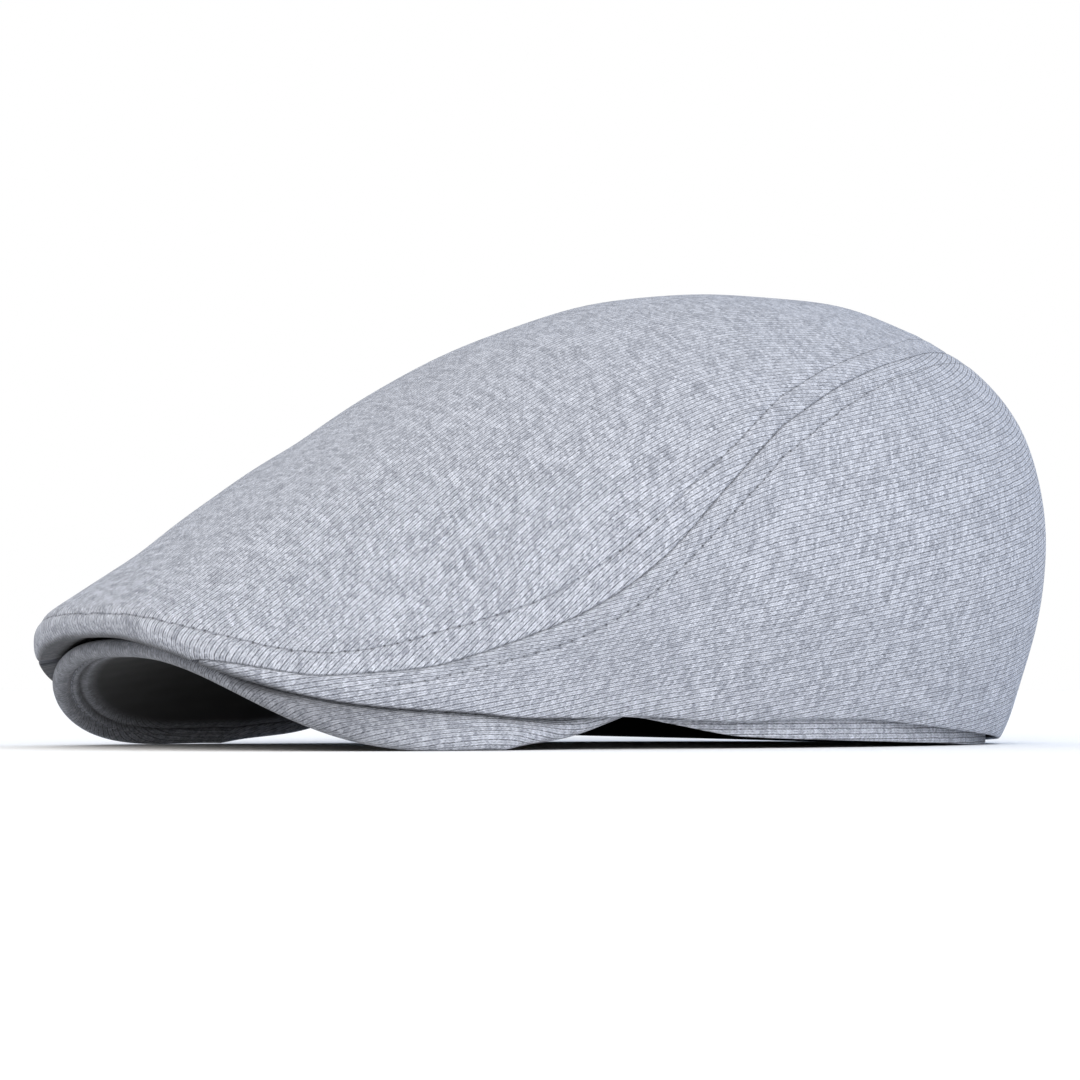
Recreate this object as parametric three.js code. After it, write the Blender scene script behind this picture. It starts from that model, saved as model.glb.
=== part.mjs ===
// A soft flat cap lying on a table, in millimetres, +Z up.
// The peak points to -Y, +X is the wearer's left, and the table is z = 0.
// The crown is one surface of stacked rings. The top panel and the two side panels are cut from it
// along a seam, the peak is an arched sheet under its front edge, and the sweatband stands inside.
import * as THREE from "three";

// Overall reach of the crown.
const CROWN_HEIGHT = 121.7;
const HALF_LENGTH = 142;
const HALF_WIDTH = 91;

// Cloth, seams, and how high the crown's lower edge hangs beside the head opening.
const CLOTH = 1.8;
const SEAM_GAP = 0.3;
const SIDE_EDGE_LIFT = 7.6;
const FRONT_EDGE_CLEARANCE = 0.35;

// Front roll: the cloth turns in under the front edge and comes back to the peak.
const FRONT_TUCK = 9;
const FRONT_TUCK_RINGS = 1.6;
const FRONT_TUCK_HOLD = { from: 30, to: 56 };

// Peak: thickness, how far its tip stands back from the crown's front edge and its rim stands out
// beside it, its length at the middle and at the sides, and its arch.
const PEAK_THICKNESS = 4.6;
const PEAK_SET_BACK = 7.8;
const PEAK_LEDGE = 1.9;
const PEAK_LENGTH = 52;
const PEAK_WAIST_LENGTH = 67.5;
const PEAK_SIDE_LENGTH = 106;
const PEAK_RIM_POWER = 2.93;
const PEAK_REAR_TAPER = 6;
const PEAK_CREST = 25.6;
const PEAK_ARCH = 30.2;
const PEAK_ARCH_POWER = 2.6;

// Sweatband, which also gives the head opening.
const BAND_THICKNESS = 1.6;
const BAND_HEIGHT = 27;
const BAND_EDGE_LIFT = 8.1;
const BAND_SIDE_CLEARANCE = 1.5;
const BAND_BACK_CLEARANCE = 0.4;
const BAND_TAIL_POWER = 1.9;
const BAND_EDGE_BELOW_PEAK = 1.6;

// Rings of the crown from its lower edge up to the apex. Level is a share of the crown's height,
// edge the share of the edge's own lift that the ring still follows, front, back and waist are
// shares of the half length, width of the half width. Nose and tail say how square the plan is.
const CROWN_RINGS = [
  { level: 0, edge: 1, front: -0.974, back: 0.909, width: 0.873, waist: -0.046, nose: 3.35, tail: 2.1 },
  { level: 0.029, edge: 1, front: -0.988, back: 0.921, width: 0.892, waist: -0.046, nose: 3.25, tail: 2.1 },
  { level: 0.07, edge: 0.99, front: -0.976, back: 0.932, width: 0.911, waist: -0.032, nose: 3.05, tail: 2.1 },
  { level: 0.132, edge: 0.93, front: -0.915, back: 0.947, width: 0.94, waist: -0.011, nose: 2.75, tail: 2.1 },
  { level: 0.222, edge: 0.82, front: -0.829, back: 0.966, width: 0.978, waist: 0.024, nose: 2.4, tail: 2.1 },
  { level: 0.337, edge: 0.68, front: -0.727, back: 0.983, width: 1, waist: 0.059, nose: 2.25, tail: 2.1 },
  { level: 0.46, edge: 0.5, front: -0.62, back: 0.989, width: 0.989, waist: 0.08, nose: 2.15, tail: 2.1 },
  { level: 0.583, edge: 0.32, front: -0.506, back: 0.98, width: 0.934, waist: 0.109, nose: 2.1, tail: 2.1 },
  { level: 0.694, edge: 0.18, front: -0.397, back: 0.963, width: 0.841, waist: 0.144, nose: 2.05, tail: 2.05 },
  { level: 0.793, edge: 0.09, front: -0.282, back: 0.913, width: 0.72, waist: 0.186, nose: 2, tail: 2 },
  { level: 0.875, edge: 0.04, front: -0.156, back: 0.823, width: 0.571, waist: 0.235, nose: 2, tail: 2 },
  { level: 0.941, edge: 0.01, front: -0.017, back: 0.7, width: 0.407, waist: 0.285, nose: 2, tail: 2 },
  { level: 0.984, edge: 0, front: 0.14, back: 0.573, width: 0.22, waist: 0.334, nose: 2, tail: 2 },
  { level: 1, edge: 0, front: 0.362, back: 0.362, width: 0, waist: 0.362, nose: 2, tail: 2 },
];

// Lower edge of the side panels: degrees round from the front, height as a share of their lift.
const SIDE_EDGE = [
  { angle: 0, lift: 1 },
  { angle: 72, lift: 1 },
  { angle: 83, lift: 1.05 },
  { angle: 90, lift: 0.92 },
  { angle: 96, lift: 0.86 },
  { angle: 103, lift: 0.95 },
  { angle: 111, lift: 0.96 },
  { angle: 118, lift: 0.85 },
  { angle: 129, lift: 0.605 },
  { angle: 142, lift: 0.37 },
  { angle: 159, lift: 0.17 },
  { angle: 180, lift: 0.08 },
];
const PEAK_HOLD = { from: 64, to: 74 };
const PEAK_HOLD_BLEND = 0.8;

// Seam between the top panel and the side panels: degrees round, and rings up from the edge.
const PANEL_SEAM = [
  { angle: 0, ring: -1.4 },
  { angle: 22, ring: -0.6 },
  { angle: 29, ring: 0.0 },
  { angle: 35, ring: 0.75 },
  { angle: 40, ring: 1.15 },
  { angle: 46.5, ring: 1.45 },
  { angle: 52, ring: 1.95 },
  { angle: 57.5, ring: 2.42 },
  { angle: 61, ring: 2.98 },
  { angle: 66, ring: 3.78 },
  { angle: 72, ring: 4.8 },
  { angle: 80, ring: 6.42 },
  { angle: 90, ring: 7.76 },
  { angle: 101.5, ring: 8.8 },
  { angle: 115, ring: 9.45 },
  { angle: 135, ring: 9.9 },
  { angle: 180, ring: 10.1 },
];
const SIDE_PANEL_START = 32;

// How far the peak climbs towards the rear: y as a share of the way from the tip to the rear ends,
// rise as a share of the peak's arch.
const PEAK_CLIMB = [
  { along: 0, rise: 0 },
  { along: 0.226, rise: 0.106 },
  { along: 0.462, rise: 0.209 },
  { along: 0.679, rise: 0.224 },
  { along: 0.83, rise: 0.186 },
  { along: 1, rise: 0.325 },
];
const PEAK_WAIST_SHARE = 0.7;
const PEAK_TAPER_EASE = 0.6;
const PEAK_ROOT_SHARE = 0.6;

// Lower edge of the sweatband: degrees round its own plan, height as a share of its lift.
const BAND_EDGE = [
  { angle: 0, lift: 1 },
  { angle: 69, lift: 1 },
  { angle: 77, lift: 0.777 },
  { angle: 84, lift: 0.533 },
  { angle: 89, lift: 0.393 },
  { angle: 96, lift: 0.307 },
  { angle: 107, lift: 0.223 },
  { angle: 128, lift: 0.1 },
  { angle: 150, lift: 0 },
  { angle: 180, lift: 0 },
];
const BAND_PEAK_HOLD = { from: 54, to: 70 };
const BAND_WAIST_SHARE = 0.0592;

// How finely the faceted solids are cut.
const TOP_GRID = { front: 8, up: 14 };
const SIDE_GRID = { round: 36, up: 11 };
const PEAK_GRID = { round: 44, across: 7 };
const RIM_ANGLES = [62, 40, 18];
const BAND_GRID = { round: 72, up: 4 };

// Small steps for measuring slopes, in millimetres, in turn and rings, and along the rim; and the
// least slant that the cloth's thickness is measured through.
const SLOPE_STEP = 0.2;
const TURN_STEP = 0.02;
const RIM_STEP = 0.01;
const LEAST_SLANT = 0.3;

const CLOTH_COLOUR = 0xbbbfc9;
const CLOTH_ROUGHNESS = 0.95;

const { degToRad, radToDeg, clamp, smoothstep, lerp } = THREE.MathUtils;

// A cubic spline through the points, straight at its ends, or level at the last one.
function smoothCurve(xs, ys, levelEnd = false) {
  const last = xs.length - 1;
  const bend = new Array(last + 1).fill(0);
  const diagonal = new Array(last + 1).fill(1);
  const slope = (i) => (ys[i + 1] - ys[i]) / (xs[i + 1] - xs[i]);
  for (let i = 1; i < last; i++) {
    const before = xs[i] - xs[i - 1];
    const carry = i > 1 ? before / diagonal[i - 1] : 0;
    diagonal[i] = 2 * (xs[i + 1] - xs[i - 1]) - carry * before;
    bend[i] = 6 * (slope(i) - slope(i - 1)) - carry * bend[i - 1];
  }
  if (levelEnd) {
    const before = xs[last] - xs[last - 1];
    const carry = before / diagonal[last - 1];
    bend[last] = (-6 * slope(last - 1) - carry * bend[last - 1]) / (2 * before - carry * before);
  }
  for (let i = last - 1; i > 0; i--) {
    bend[i] = (bend[i] - (xs[i + 1] - xs[i]) * bend[i + 1]) / diagonal[i];
  }
  return (at) => {
    const x = clamp(at, xs[0], xs[last]);
    let i = 0;
    while (i < last - 1 && x > xs[i + 1]) i++;
    const width = xs[i + 1] - xs[i];
    const a = (xs[i + 1] - x) / width;
    const b = 1 - a;
    const curl = ((a ** 3 - a) * bend[i] + (b ** 3 - b) * bend[i + 1]) * (width ** 2 / 6);
    return a * ys[i] + b * ys[i + 1] + curl;
  };
}

// A curve through the points that never swings past them.
function steadyCurve(xs, ys) {
  const last = xs.length - 1;
  const slope = (i) => (ys[i + 1] - ys[i]) / (xs[i + 1] - xs[i]);
  const tangent = xs.map((_, i) => {
    if (i === 0 || i === last) return 0;
    const [a, b] = [slope(i - 1), slope(i)];
    return a * b <= 0 ? 0 : (2 * a * b) / (a + b);
  });
  return (at) => {
    const x = clamp(at, xs[0], xs[last]);
    let i = 0;
    while (i < last - 1 && x > xs[i + 1]) i++;
    const width = xs[i + 1] - xs[i];
    const t = (x - xs[i]) / width;
    const rise = (3 - 2 * t) * t * t;
    const lean = (t - 1) * t * width * ((t - 1) * tangent[i] + t * tangent[i + 1]);
    return lerp(ys[i], ys[i + 1], rise) + lean;
  };
}

// Distance factor of a superellipse at an angle: 2 is round, more is squarer.
function squareRound(angle, power) {
  return (Math.abs(Math.cos(angle)) ** power + Math.abs(Math.sin(angle)) ** power) ** (-1 / power);
}

// Degrees round from the front, the same on both sides.
function degreesFromFront(angle) {
  return radToDeg(Math.abs(angle));
}

const tableCurve = (rows, x, y, scale) =>
  steadyCurve(
    rows.map((row) => row[x]),
    rows.map((row) => row[y] * scale),
  );

// Crown: every column of the table as a smooth curve over the ring count.
const ringCount = CROWN_RINGS.map((_, i) => i);
const apexRing = CROWN_RINGS.length - 1;
const ringCurve = (name, scale, levelEnd) =>
  smoothCurve(
    ringCount,
    CROWN_RINGS.map((ring) => ring[name] * scale),
    levelEnd,
  );
const crown = {
  level: ringCurve("level", CROWN_HEIGHT, true),
  edge: ringCurve("edge", 1, true),
  front: ringCurve("front", HALF_LENGTH),
  back: ringCurve("back", HALF_LENGTH),
  width: ringCurve("width", HALF_WIDTH),
  waist: ringCurve("waist", HALF_LENGTH),
  nose: ringCurve("nose", 1),
  tail: ringCurve("tail", 1),
};
const sideEdge = tableCurve(SIDE_EDGE, "angle", "lift", SIDE_EDGE_LIFT);
const panelSeam = tableCurve(PANEL_SEAM, "angle", "ring", 1);

// Sizes that follow from the crown's lower edge.
const edgeHalfWidth = crown.width(0);
const peakHalfWidth = edgeHalfWidth + PEAK_LEDGE - PEAK_THICKNESS / 2;
const peakTipY = crown.front(0) + PEAK_SET_BACK;
const peakWaistY = peakTipY + PEAK_WAIST_LENGTH;
const peakRearY = peakTipY + PEAK_SIDE_LENGTH;
const bandHalfWidth = edgeHalfWidth - CLOTH - BAND_SIDE_CLEARANCE;
const bandWaistY = BAND_WAIST_SHARE * HALF_LENGTH;
const bandFrontY = peakTipY + PEAK_LENGTH;
const bandBackY = crown.back(0) - CLOTH - BAND_BACK_CLEARANCE;

// Peak: its middle surface is an arch that climbs to the rear.
const peakClimb = smoothCurve(
  PEAK_CLIMB.map((row) => peakTipY + row.along * PEAK_SIDE_LENGTH),
  PEAK_CLIMB.map((row) => row.rise * PEAK_ARCH),
);

function peakMiddle(x, y) {
  const arch = PEAK_ARCH * (Math.abs(x) / peakHalfWidth) ** PEAK_ARCH_POWER;
  return PEAK_CREST + peakClimb(y) - arch;
}

function peakNormal(x, y) {
  const step = SLOPE_STEP;
  const slopeX = (peakMiddle(x + step, y) - peakMiddle(x - step, y)) / (2 * step);
  const slopeY = (peakMiddle(x, y + step) - peakMiddle(x, y - step)) / (2 * step);
  return new THREE.Vector3(-slopeX, -slopeY, 1).normalize();
}

// Rim of the peak's middle surface, from one rear end (-1) round the tip (0) to the other (1).
function peakRim(s) {
  const way = Math.abs(s);
  const turn = (clamp(way / PEAK_WAIST_SHARE, 0, 1) * Math.PI) / 2;
  const rearward = clamp((way - PEAK_WAIST_SHARE) / (1 - PEAK_WAIST_SHARE), 0, 1);
  const reach = squareRound(turn, PEAK_RIM_POWER);
  const tucked = PEAK_REAR_TAPER * smoothstep(rearward ** PEAK_TAPER_EASE, 0, 1);
  const x = Math.sign(s) * (peakHalfWidth * reach * Math.sin(turn) - tucked);
  const front = PEAK_WAIST_LENGTH * reach * Math.cos(turn);
  return new THREE.Vector2(x, peakWaistY - front + rearward * (peakRearY - peakWaistY));
}

// Plan of the sweatband's outer face, pushed out by a distance.
function bandPlan(angle, push = 0) {
  const forward = Math.cos(angle);
  const reach = squareRound(angle, forward > 0 ? 2 : BAND_TAIL_POWER);
  const half = (forward > 0 ? bandWaistY - bandFrontY : bandBackY - bandWaistY) + push;
  const x = (bandHalfWidth + push) * reach * Math.sin(angle);
  return new THREE.Vector2(x, bandWaistY - half * reach * forward);
}

// Root of the peak, which follows the sweatband from end to end.
function peakRoot(s) {
  const cosEnd = (bandWaistY - peakRearY) / (bandWaistY - bandFrontY + SEAM_GAP);
  return bandPlan(s * Math.acos(cosEnd), SEAM_GAP);
}

function crownPlan(angle, ring) {
  const forward = Math.cos(angle);
  const waist = crown.waist(ring);
  const reach = squareRound(angle, forward > 0 ? crown.nose(ring) : crown.tail(ring));
  const half = forward > 0 ? waist - crown.front(ring) : crown.back(ring) - waist;
  const x = crown.width(ring) * reach * Math.sin(angle);
  return new THREE.Vector2(x, waist - half * reach * forward);
}

// The greater of two heights, with the corner between them rounded off.
function softMax(a, b, blend) {
  return (a + b + Math.hypot(a - b, blend)) / 2;
}

// Height just above the peak's upper face.
function overPeak(x, y) {
  const slant = Math.max(peakNormal(x, y).z, LEAST_SLANT);
  return peakMiddle(x, y) + PEAK_THICKNESS / 2 / slant + FRONT_EDGE_CLEARANCE;
}

// Height of the crown's lower edge: it lies on the peak in front and hangs free at the sides.
function edgeLift(angle) {
  const round = degreesFromFront(angle);
  const free = smoothstep(round, PEAK_HOLD.from, PEAK_HOLD.to);
  if (free === 1) return sideEdge(round);
  const edge = crownPlan(angle, 0);
  const { x, y } = edge.setLength(edge.length() - CLOTH);
  return lerp(softMax(overPeak(x, y), sideEdge(round), PEAK_HOLD_BLEND), sideEdge(round), free);
}

function crownPoint(angle, ring) {
  const { x, y } = crownPlan(angle, ring);
  return new THREE.Vector3(x, y, crown.level(ring) + edgeLift(angle) * crown.edge(ring));
}

function crownNormal(angle, ring) {
  const step = TURN_STEP;
  const low = Math.max(ring - step, 0);
  const high = Math.min(ring + step, apexRing);
  if (high > apexRing - step) return new THREE.Vector3(0, 0, 1);
  const round = crownPoint(angle + step, ring).sub(crownPoint(angle - step, ring));
  const up = crownPoint(angle, high).sub(crownPoint(angle, low));
  return round.cross(up).normalize();
}

// The ring count a distance further up the crown from a ring.
function upCrown(angle, ring, distance) {
  const from = clamp(ring, 0, apexRing - 1);
  return ring + distance / crownPoint(angle, from).distanceTo(crownPoint(angle, from + 1));
}

// How far the inner face is drawn in behind the front roll.
function frontTuck(angle, ring) {
  const hold = 1 - smoothstep(degreesFromFront(angle), FRONT_TUCK_HOLD.from, FRONT_TUCK_HOLD.to);
  return FRONT_TUCK * hold * Math.max(1 - ring / FRONT_TUCK_RINGS, 0);
}

function crownInside(angle, ring) {
  const inside = crownPoint(angle, ring).addScaledVector(crownNormal(angle, ring), -CLOTH);
  const tuck = frontTuck(angle, ring);
  if (tuck === 0) return inside;
  const plan = new THREE.Vector2(inside.x, inside.y);
  const { x, y } = plan.setLength(plan.length() - tuck);
  return new THREE.Vector3(x, y, Math.max(inside.z, overPeak(x, y)));
}

// A closed sheet between two grids of points: columns run round, rows run from the first border
// to the last. A round sheet joins its last column to its first, and a pole closes its last row.
function sheetGeometry(outer, inner, { round = false, poles = null } = {}) {
  const positions = [];
  const index = [];
  const vertex = (point) => positions.push(point.x, point.y, point.z) / 3 - 1;
  const quad = (a, b, c, d) => index.push(a, b, c, a, c, d);
  const out = outer.map((column) => column.map(vertex));
  const into = inner.map((column) => column.map(vertex));
  const pole = poles && poles.map(vertex);
  const columns = out.length;
  const top = out[0].length - 1;
  for (let i = 0; i < (round ? columns : columns - 1); i++) {
    const next = (i + 1) % columns;
    for (let j = 0; j < top; j++) {
      quad(out[i][j], out[next][j], out[next][j + 1], out[i][j + 1]);
      quad(into[i][j], into[i][j + 1], into[next][j + 1], into[next][j]);
    }
    quad(out[i][0], into[i][0], into[next][0], out[next][0]);
    if (pole) {
      index.push(out[i][top], out[next][top], pole[0]);
      index.push(into[next][top], into[i][top], pole[1]);
    } else {
      quad(out[i][top], out[next][top], into[next][top], into[i][top]);
    }
  }
  if (!round) {
    const end = columns - 1;
    for (let j = 0; j < top; j++) {
      quad(out[0][j], out[0][j + 1], into[0][j + 1], into[0][j]);
      quad(out[end][j], into[end][j], into[end][j + 1], out[end][j + 1]);
    }
  }
  const geometry = new THREE.BufferGeometry();
  geometry.setAttribute("position", new THREE.Float32BufferAttribute(positions, 3));
  geometry.setIndex(index);
  geometry.computeVertexNormals();
  return geometry;
}

function clothMesh(name, geometry) {
  const material = new THREE.MeshStandardMaterial({
    color: CLOTH_COLOUR,
    roughness: CLOTH_ROUGHNESS,
    metalness: 0,
  });
  const mesh = new THREE.Mesh(geometry, material);
  mesh.name = name;
  return mesh;
}

const steps = (count) => Array.from({ length: count + 1 }, (_, i) => i / count);

// Angles that the panels share, so that both sides of the seam turn together.
const firstSeamAngle = degToRad(SIDE_PANEL_START);
const seamAngles = steps(SIDE_GRID.round).map((share) => lerp(firstSeamAngle, Math.PI, share));

// Top panel: from the seam, or the front edge, up over the apex.
function topPanel() {
  const outer = [];
  const inner = [];
  const left = seamAngles.slice(0, -1);
  const front = steps(TOP_GRID.front).map((share) => lerp(-left[0], left[0], share));
  const right = left.slice(1).reverse();
  for (const angle of [-Math.PI, ...right.map((turn) => -turn), ...front, ...left.slice(1)]) {
    const seam = panelSeam(degreesFromFront(angle));
    const low = Math.max(upCrown(angle, seam, SEAM_GAP / 2), 0);
    const rings = steps(TOP_GRID.up).slice(0, -1);
    outer.push(rings.map((share) => crownPoint(angle, lerp(low, apexRing, share))));
    inner.push(rings.map((share) => crownInside(angle, lerp(low, apexRing, share))));
  }
  const poles = [crownPoint(0, apexRing), crownInside(0, apexRing)];
  return sheetGeometry(outer, inner, { round: true, poles });
}

// Side panel: from its front point, under the seam, to the seam at the centre back.
function sidePanel(side) {
  const backReach = crown.back(apexRing / 2) - crown.waist(apexRing / 2);
  const end = Math.PI - SEAM_GAP / backReach;
  const angles = seamAngles.map((angle) => side * Math.min(angle, end));
  if (side < 0) angles.reverse();
  const rowsAt = (angle, place) => {
    const seam = panelSeam(degreesFromFront(angle));
    const high = upCrown(angle, seam, -SEAM_GAP / 2);
    return steps(SIDE_GRID.up).map((share) => place(angle, high * share));
  };
  return sheetGeometry(
    angles.map((angle) => rowsAt(angle, crownPoint)),
    angles.map((angle) => rowsAt(angle, crownInside)),
  );
}

// Peak: the arched sheet with a rounded rim, from its root to the rim on both faces.
function peak() {
  const half = PEAK_THICKNESS / 2;
  const face = (s, side) => {
    const rim = peakRim(s);
    const root = peakRoot(s);
    const points = steps(PEAK_GRID.across).map((share) => {
      const { x, y } = root.clone().lerp(rim, share);
      const middle = new THREE.Vector3(x, y, peakMiddle(x, y));
      const normal = peakNormal(x, y);
      const upright = new THREE.Vector3(0, 0, 1 / normal.z);
      return middle.addScaledVector(upright.lerp(normal, smoothstep(share, 0, PEAK_ROOT_SHARE)), side * half);
    });
    const along = peakRim(Math.min(s + RIM_STEP, 1)).sub(peakRim(Math.max(s - RIM_STEP, -1)));
    const normal = peakNormal(rim.x, rim.y);
    const outward = new THREE.Vector3(along.y, -along.x, 0);
    outward.addScaledVector(normal, -outward.dot(normal)).normalize();
    const middle = new THREE.Vector3(rim.x, rim.y, peakMiddle(rim.x, rim.y));
    for (const degrees of RIM_ANGLES) {
      const turn = degToRad(degrees);
      const round = middle.clone().addScaledVector(outward, half * Math.cos(turn));
      points.push(round.addScaledVector(normal, side * half * Math.sin(turn)));
    }
    return points;
  };
  const stations = steps(PEAK_GRID.round).map((share) => 2 * share - 1);
  return sheetGeometry(
    stations.map((s) => face(s, -1)),
    stations.map((s) => face(s, 1)),
  );
}

// Sweatband: a standing ring, cut to the peak in front and to the table at the back.
const bandEdge = tableCurve(BAND_EDGE, "angle", "lift", BAND_EDGE_LIFT);

function bandLift(angle) {
  const round = degreesFromFront(angle);
  const free = smoothstep(round, BAND_PEAK_HOLD.from, BAND_PEAK_HOLD.to);
  const { x, y } = bandPlan(angle);
  return lerp(peakMiddle(x, y) - BAND_EDGE_BELOW_PEAK, bandEdge(round), free);
}

function sweatband() {
  const outer = [];
  const inner = [];
  for (let i = 0; i < BAND_GRID.round; i++) {
    const angle = (i / BAND_GRID.round) * 2 * Math.PI - Math.PI;
    const heights = steps(BAND_GRID.up).map((share) => bandLift(angle) + share * BAND_HEIGHT);
    const column = (plan) => heights.map((z) => new THREE.Vector3(plan.x, plan.y, z));
    outer.push(column(bandPlan(angle)));
    inner.push(column(bandPlan(angle, -BAND_THICKNESS)));
  }
  return sheetGeometry(outer, inner, { round: true });
}

const cap = new THREE.Group();
cap.add(clothMesh("top_panel", topPanel()));
cap.add(clothMesh("side_panel_left", sidePanel(1)));
cap.add(clothMesh("side_panel_right", sidePanel(-1)));
cap.add(clothMesh("peak", peak()));
cap.add(clothMesh("sweatband", sweatband()));

export default cap;
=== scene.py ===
"""A soft flat cap in heathered jersey, dressed over its solids.

Metres, +Z up, the peak points to -Y, +X is the wearer's left.
"""
import logging
import math
from dataclasses import dataclass, field
from enum import Enum
from functools import partial
from typing import Callable, NamedTuple, Optional, Sequence

import bpy
import numpy as np
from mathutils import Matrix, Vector, kdtree


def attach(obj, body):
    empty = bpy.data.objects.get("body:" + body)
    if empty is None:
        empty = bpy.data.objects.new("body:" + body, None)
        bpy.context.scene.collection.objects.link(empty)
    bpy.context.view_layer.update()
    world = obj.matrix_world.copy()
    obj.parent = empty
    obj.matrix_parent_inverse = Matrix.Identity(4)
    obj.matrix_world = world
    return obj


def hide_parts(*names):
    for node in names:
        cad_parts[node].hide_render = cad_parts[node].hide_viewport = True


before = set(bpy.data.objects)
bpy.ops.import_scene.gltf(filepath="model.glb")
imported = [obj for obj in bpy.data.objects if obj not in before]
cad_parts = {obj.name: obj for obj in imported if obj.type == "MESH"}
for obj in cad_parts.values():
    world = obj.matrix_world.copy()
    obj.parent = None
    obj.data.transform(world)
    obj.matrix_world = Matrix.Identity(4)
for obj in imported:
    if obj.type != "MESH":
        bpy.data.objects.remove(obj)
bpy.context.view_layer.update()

MM = 0.001
WAVES = 7
WAVE_SPREAD = (0.7, 1.5)
LINE_POINTS = 1600
CURVE_POINTS = 400
# Degrees from the front at which the crown's edge leaves the peak.
HEM_TURN = 74
# A row's thread lies at this share of its groove's depth.
THREAD_SINK = 0.75
MATH = "ShaderNodeMath"
RANGE = "ShaderNodeMapRange"
NOISE = "ShaderNodeTexNoise"
Array = np.ndarray
Curve = Callable[[Array], Array]
log = logging.getLogger("flat_cap")


class Ring(NamedTuple):
    """A ring of the crown: heights, reaches and squareness as shares, from the edge up."""

    level: float
    edge: float
    front: float
    back: float
    width: float
    waist: float
    nose: float
    tail: float


class Turn(NamedTuple):
    """A value at a number of degrees round from the front."""

    angle: float
    value: float


# Level is a share of the crown's height, and edge the share of the lower edge's lift that the ring
# still follows. Front, back and waist are shares of the half length, and width of the half width.
# Nose and tail are the powers of the outline in front and behind: 2 is round, more is squarer.
CROWN_RINGS = (
    Ring(0, 1, -0.974, 0.909, 0.873, -0.046, 3.35, 2.1),
    Ring(0.029, 1, -0.988, 0.921, 0.892, -0.046, 3.25, 2.1),
    Ring(0.07, 0.99, -0.976, 0.932, 0.911, -0.032, 3.05, 2.1),
    Ring(0.132, 0.93, -0.915, 0.947, 0.94, -0.011, 2.75, 2.1),
    Ring(0.222, 0.82, -0.829, 0.966, 0.978, 0.024, 2.4, 2.1),
    Ring(0.337, 0.68, -0.727, 0.983, 1, 0.059, 2.25, 2.1),
    Ring(0.46, 0.5, -0.62, 0.989, 0.989, 0.08, 2.15, 2.1),
    Ring(0.583, 0.32, -0.506, 0.98, 0.934, 0.109, 2.1, 2.1),
    Ring(0.694, 0.18, -0.397, 0.963, 0.841, 0.144, 2.05, 2.05),
    Ring(0.793, 0.09, -0.282, 0.913, 0.72, 0.186, 2, 2),
    Ring(0.875, 0.04, -0.156, 0.823, 0.571, 0.235, 2, 2),
    Ring(0.941, 0.01, -0.017, 0.7, 0.407, 0.285, 2, 2),
    Ring(0.984, 0, 0.14, 0.573, 0.22, 0.334, 2, 2),
    Ring(1, 0, 0.362, 0.362, 0, 0.362, 2, 2),
)
APEX_RING = len(CROWN_RINGS) - 1

# Lower edge of the side panels, as a share of their lift.
SIDE_EDGE = (
    Turn(0, 1), Turn(72, 1), Turn(83, 1.05), Turn(90, 0.92), Turn(96, 0.86), Turn(103, 0.95),
    Turn(111, 0.96), Turn(118, 0.85), Turn(129, 0.605), Turn(142, 0.37), Turn(159, 0.17), Turn(180, 0.08),
)

# Lower edge of the sweatband, as a share of its lift.
BAND_EDGE = (
    Turn(0, 1), Turn(69, 1), Turn(77, 0.777), Turn(84, 0.533), Turn(89, 0.393), Turn(96, 0.307),
    Turn(107, 0.223), Turn(128, 0.1), Turn(150, 0), Turn(180, 0),
)

# Seam between the top panel and the side panels, in rings up from the edge.
PANEL_SEAM = (
    Turn(0, -1.4), Turn(22, -0.6), Turn(29, 0), Turn(35, 0.75), Turn(40, 1.15), Turn(46.5, 1.45),
    Turn(52, 1.95), Turn(57.5, 2.42), Turn(61, 2.98), Turn(66, 3.78), Turn(72, 4.8), Turn(80, 6.42),
    Turn(90, 7.76), Turn(101.5, 8.8), Turn(115, 9.45), Turn(135, 9.9), Turn(180, 10.1),
)

# Topstitch row on the top panel, which goes on round the front roll, and the one under the seam.
TOP_ROW = (
    Turn(0, 1.55), Turn(14, 1.65), Turn(23, 1.78), Turn(29.5, 1.95), Turn(36.5, 2.08), Turn(42, 2.18),
    Turn(46, 2.38), Turn(50, 2.8), Turn(54.5, 3.45), Turn(61.5, 4.23), Turn(68.5, 5.45), Turn(73.5, 6.38),
    Turn(80, 7.25), Turn(90, 8.42), Turn(101.5, 9.3), Turn(115, 9.87), Turn(135, 10.3), Turn(180, 10.5),
)
SIDE_ROW = (
    Turn(40, 0.55), Turn(46.5, 0.85), Turn(52, 1.3), Turn(57.5, 1.78), Turn(61, 2.3), Turn(66, 3.0),
    Turn(72, 3.93), Turn(80, 5.62), Turn(90, 7.1), Turn(101.5, 8.3), Turn(115, 9.08), Turn(135, 9.56),
    Turn(180, 9.76),
)

# How far the peak climbs towards the rear, as a share of the way back, and of the peak's arch.
PEAK_CLIMB = ((0, 0), (0.226, 0.106), (0.462, 0.209), (0.679, 0.224), (0.83, 0.186), (1, 0.325))


class Side(Enum):
    """The two sides of the cap, by the sign of X."""

    LEFT = 1
    RIGHT = -1


def smooth_step(at: Array, low: float, high: float) -> Array:
    """Eases from 0 at low to 1 at high."""
    t = np.clip((np.asarray(at, float) - low) / (high - low), 0, 1)
    return t * t * (3 - 2 * t)


def blend(a: Array, b: Array, share: Array) -> Array:
    """Goes from a to b by a share."""
    return a + (b - a) * share


def square_round(angle: Array, power: Array) -> Array:
    """Distance factor of a superellipse at an angle: 2 is round, more is squarer."""
    return (np.abs(np.cos(angle)) ** power + np.abs(np.sin(angle)) ** power) ** (-1 / power)


def unit(vectors: Array) -> Array:
    """Vectors brought to length 1."""
    return vectors / np.maximum(np.linalg.norm(vectors, axis=-1, keepdims=True), 1e-12)


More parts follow.
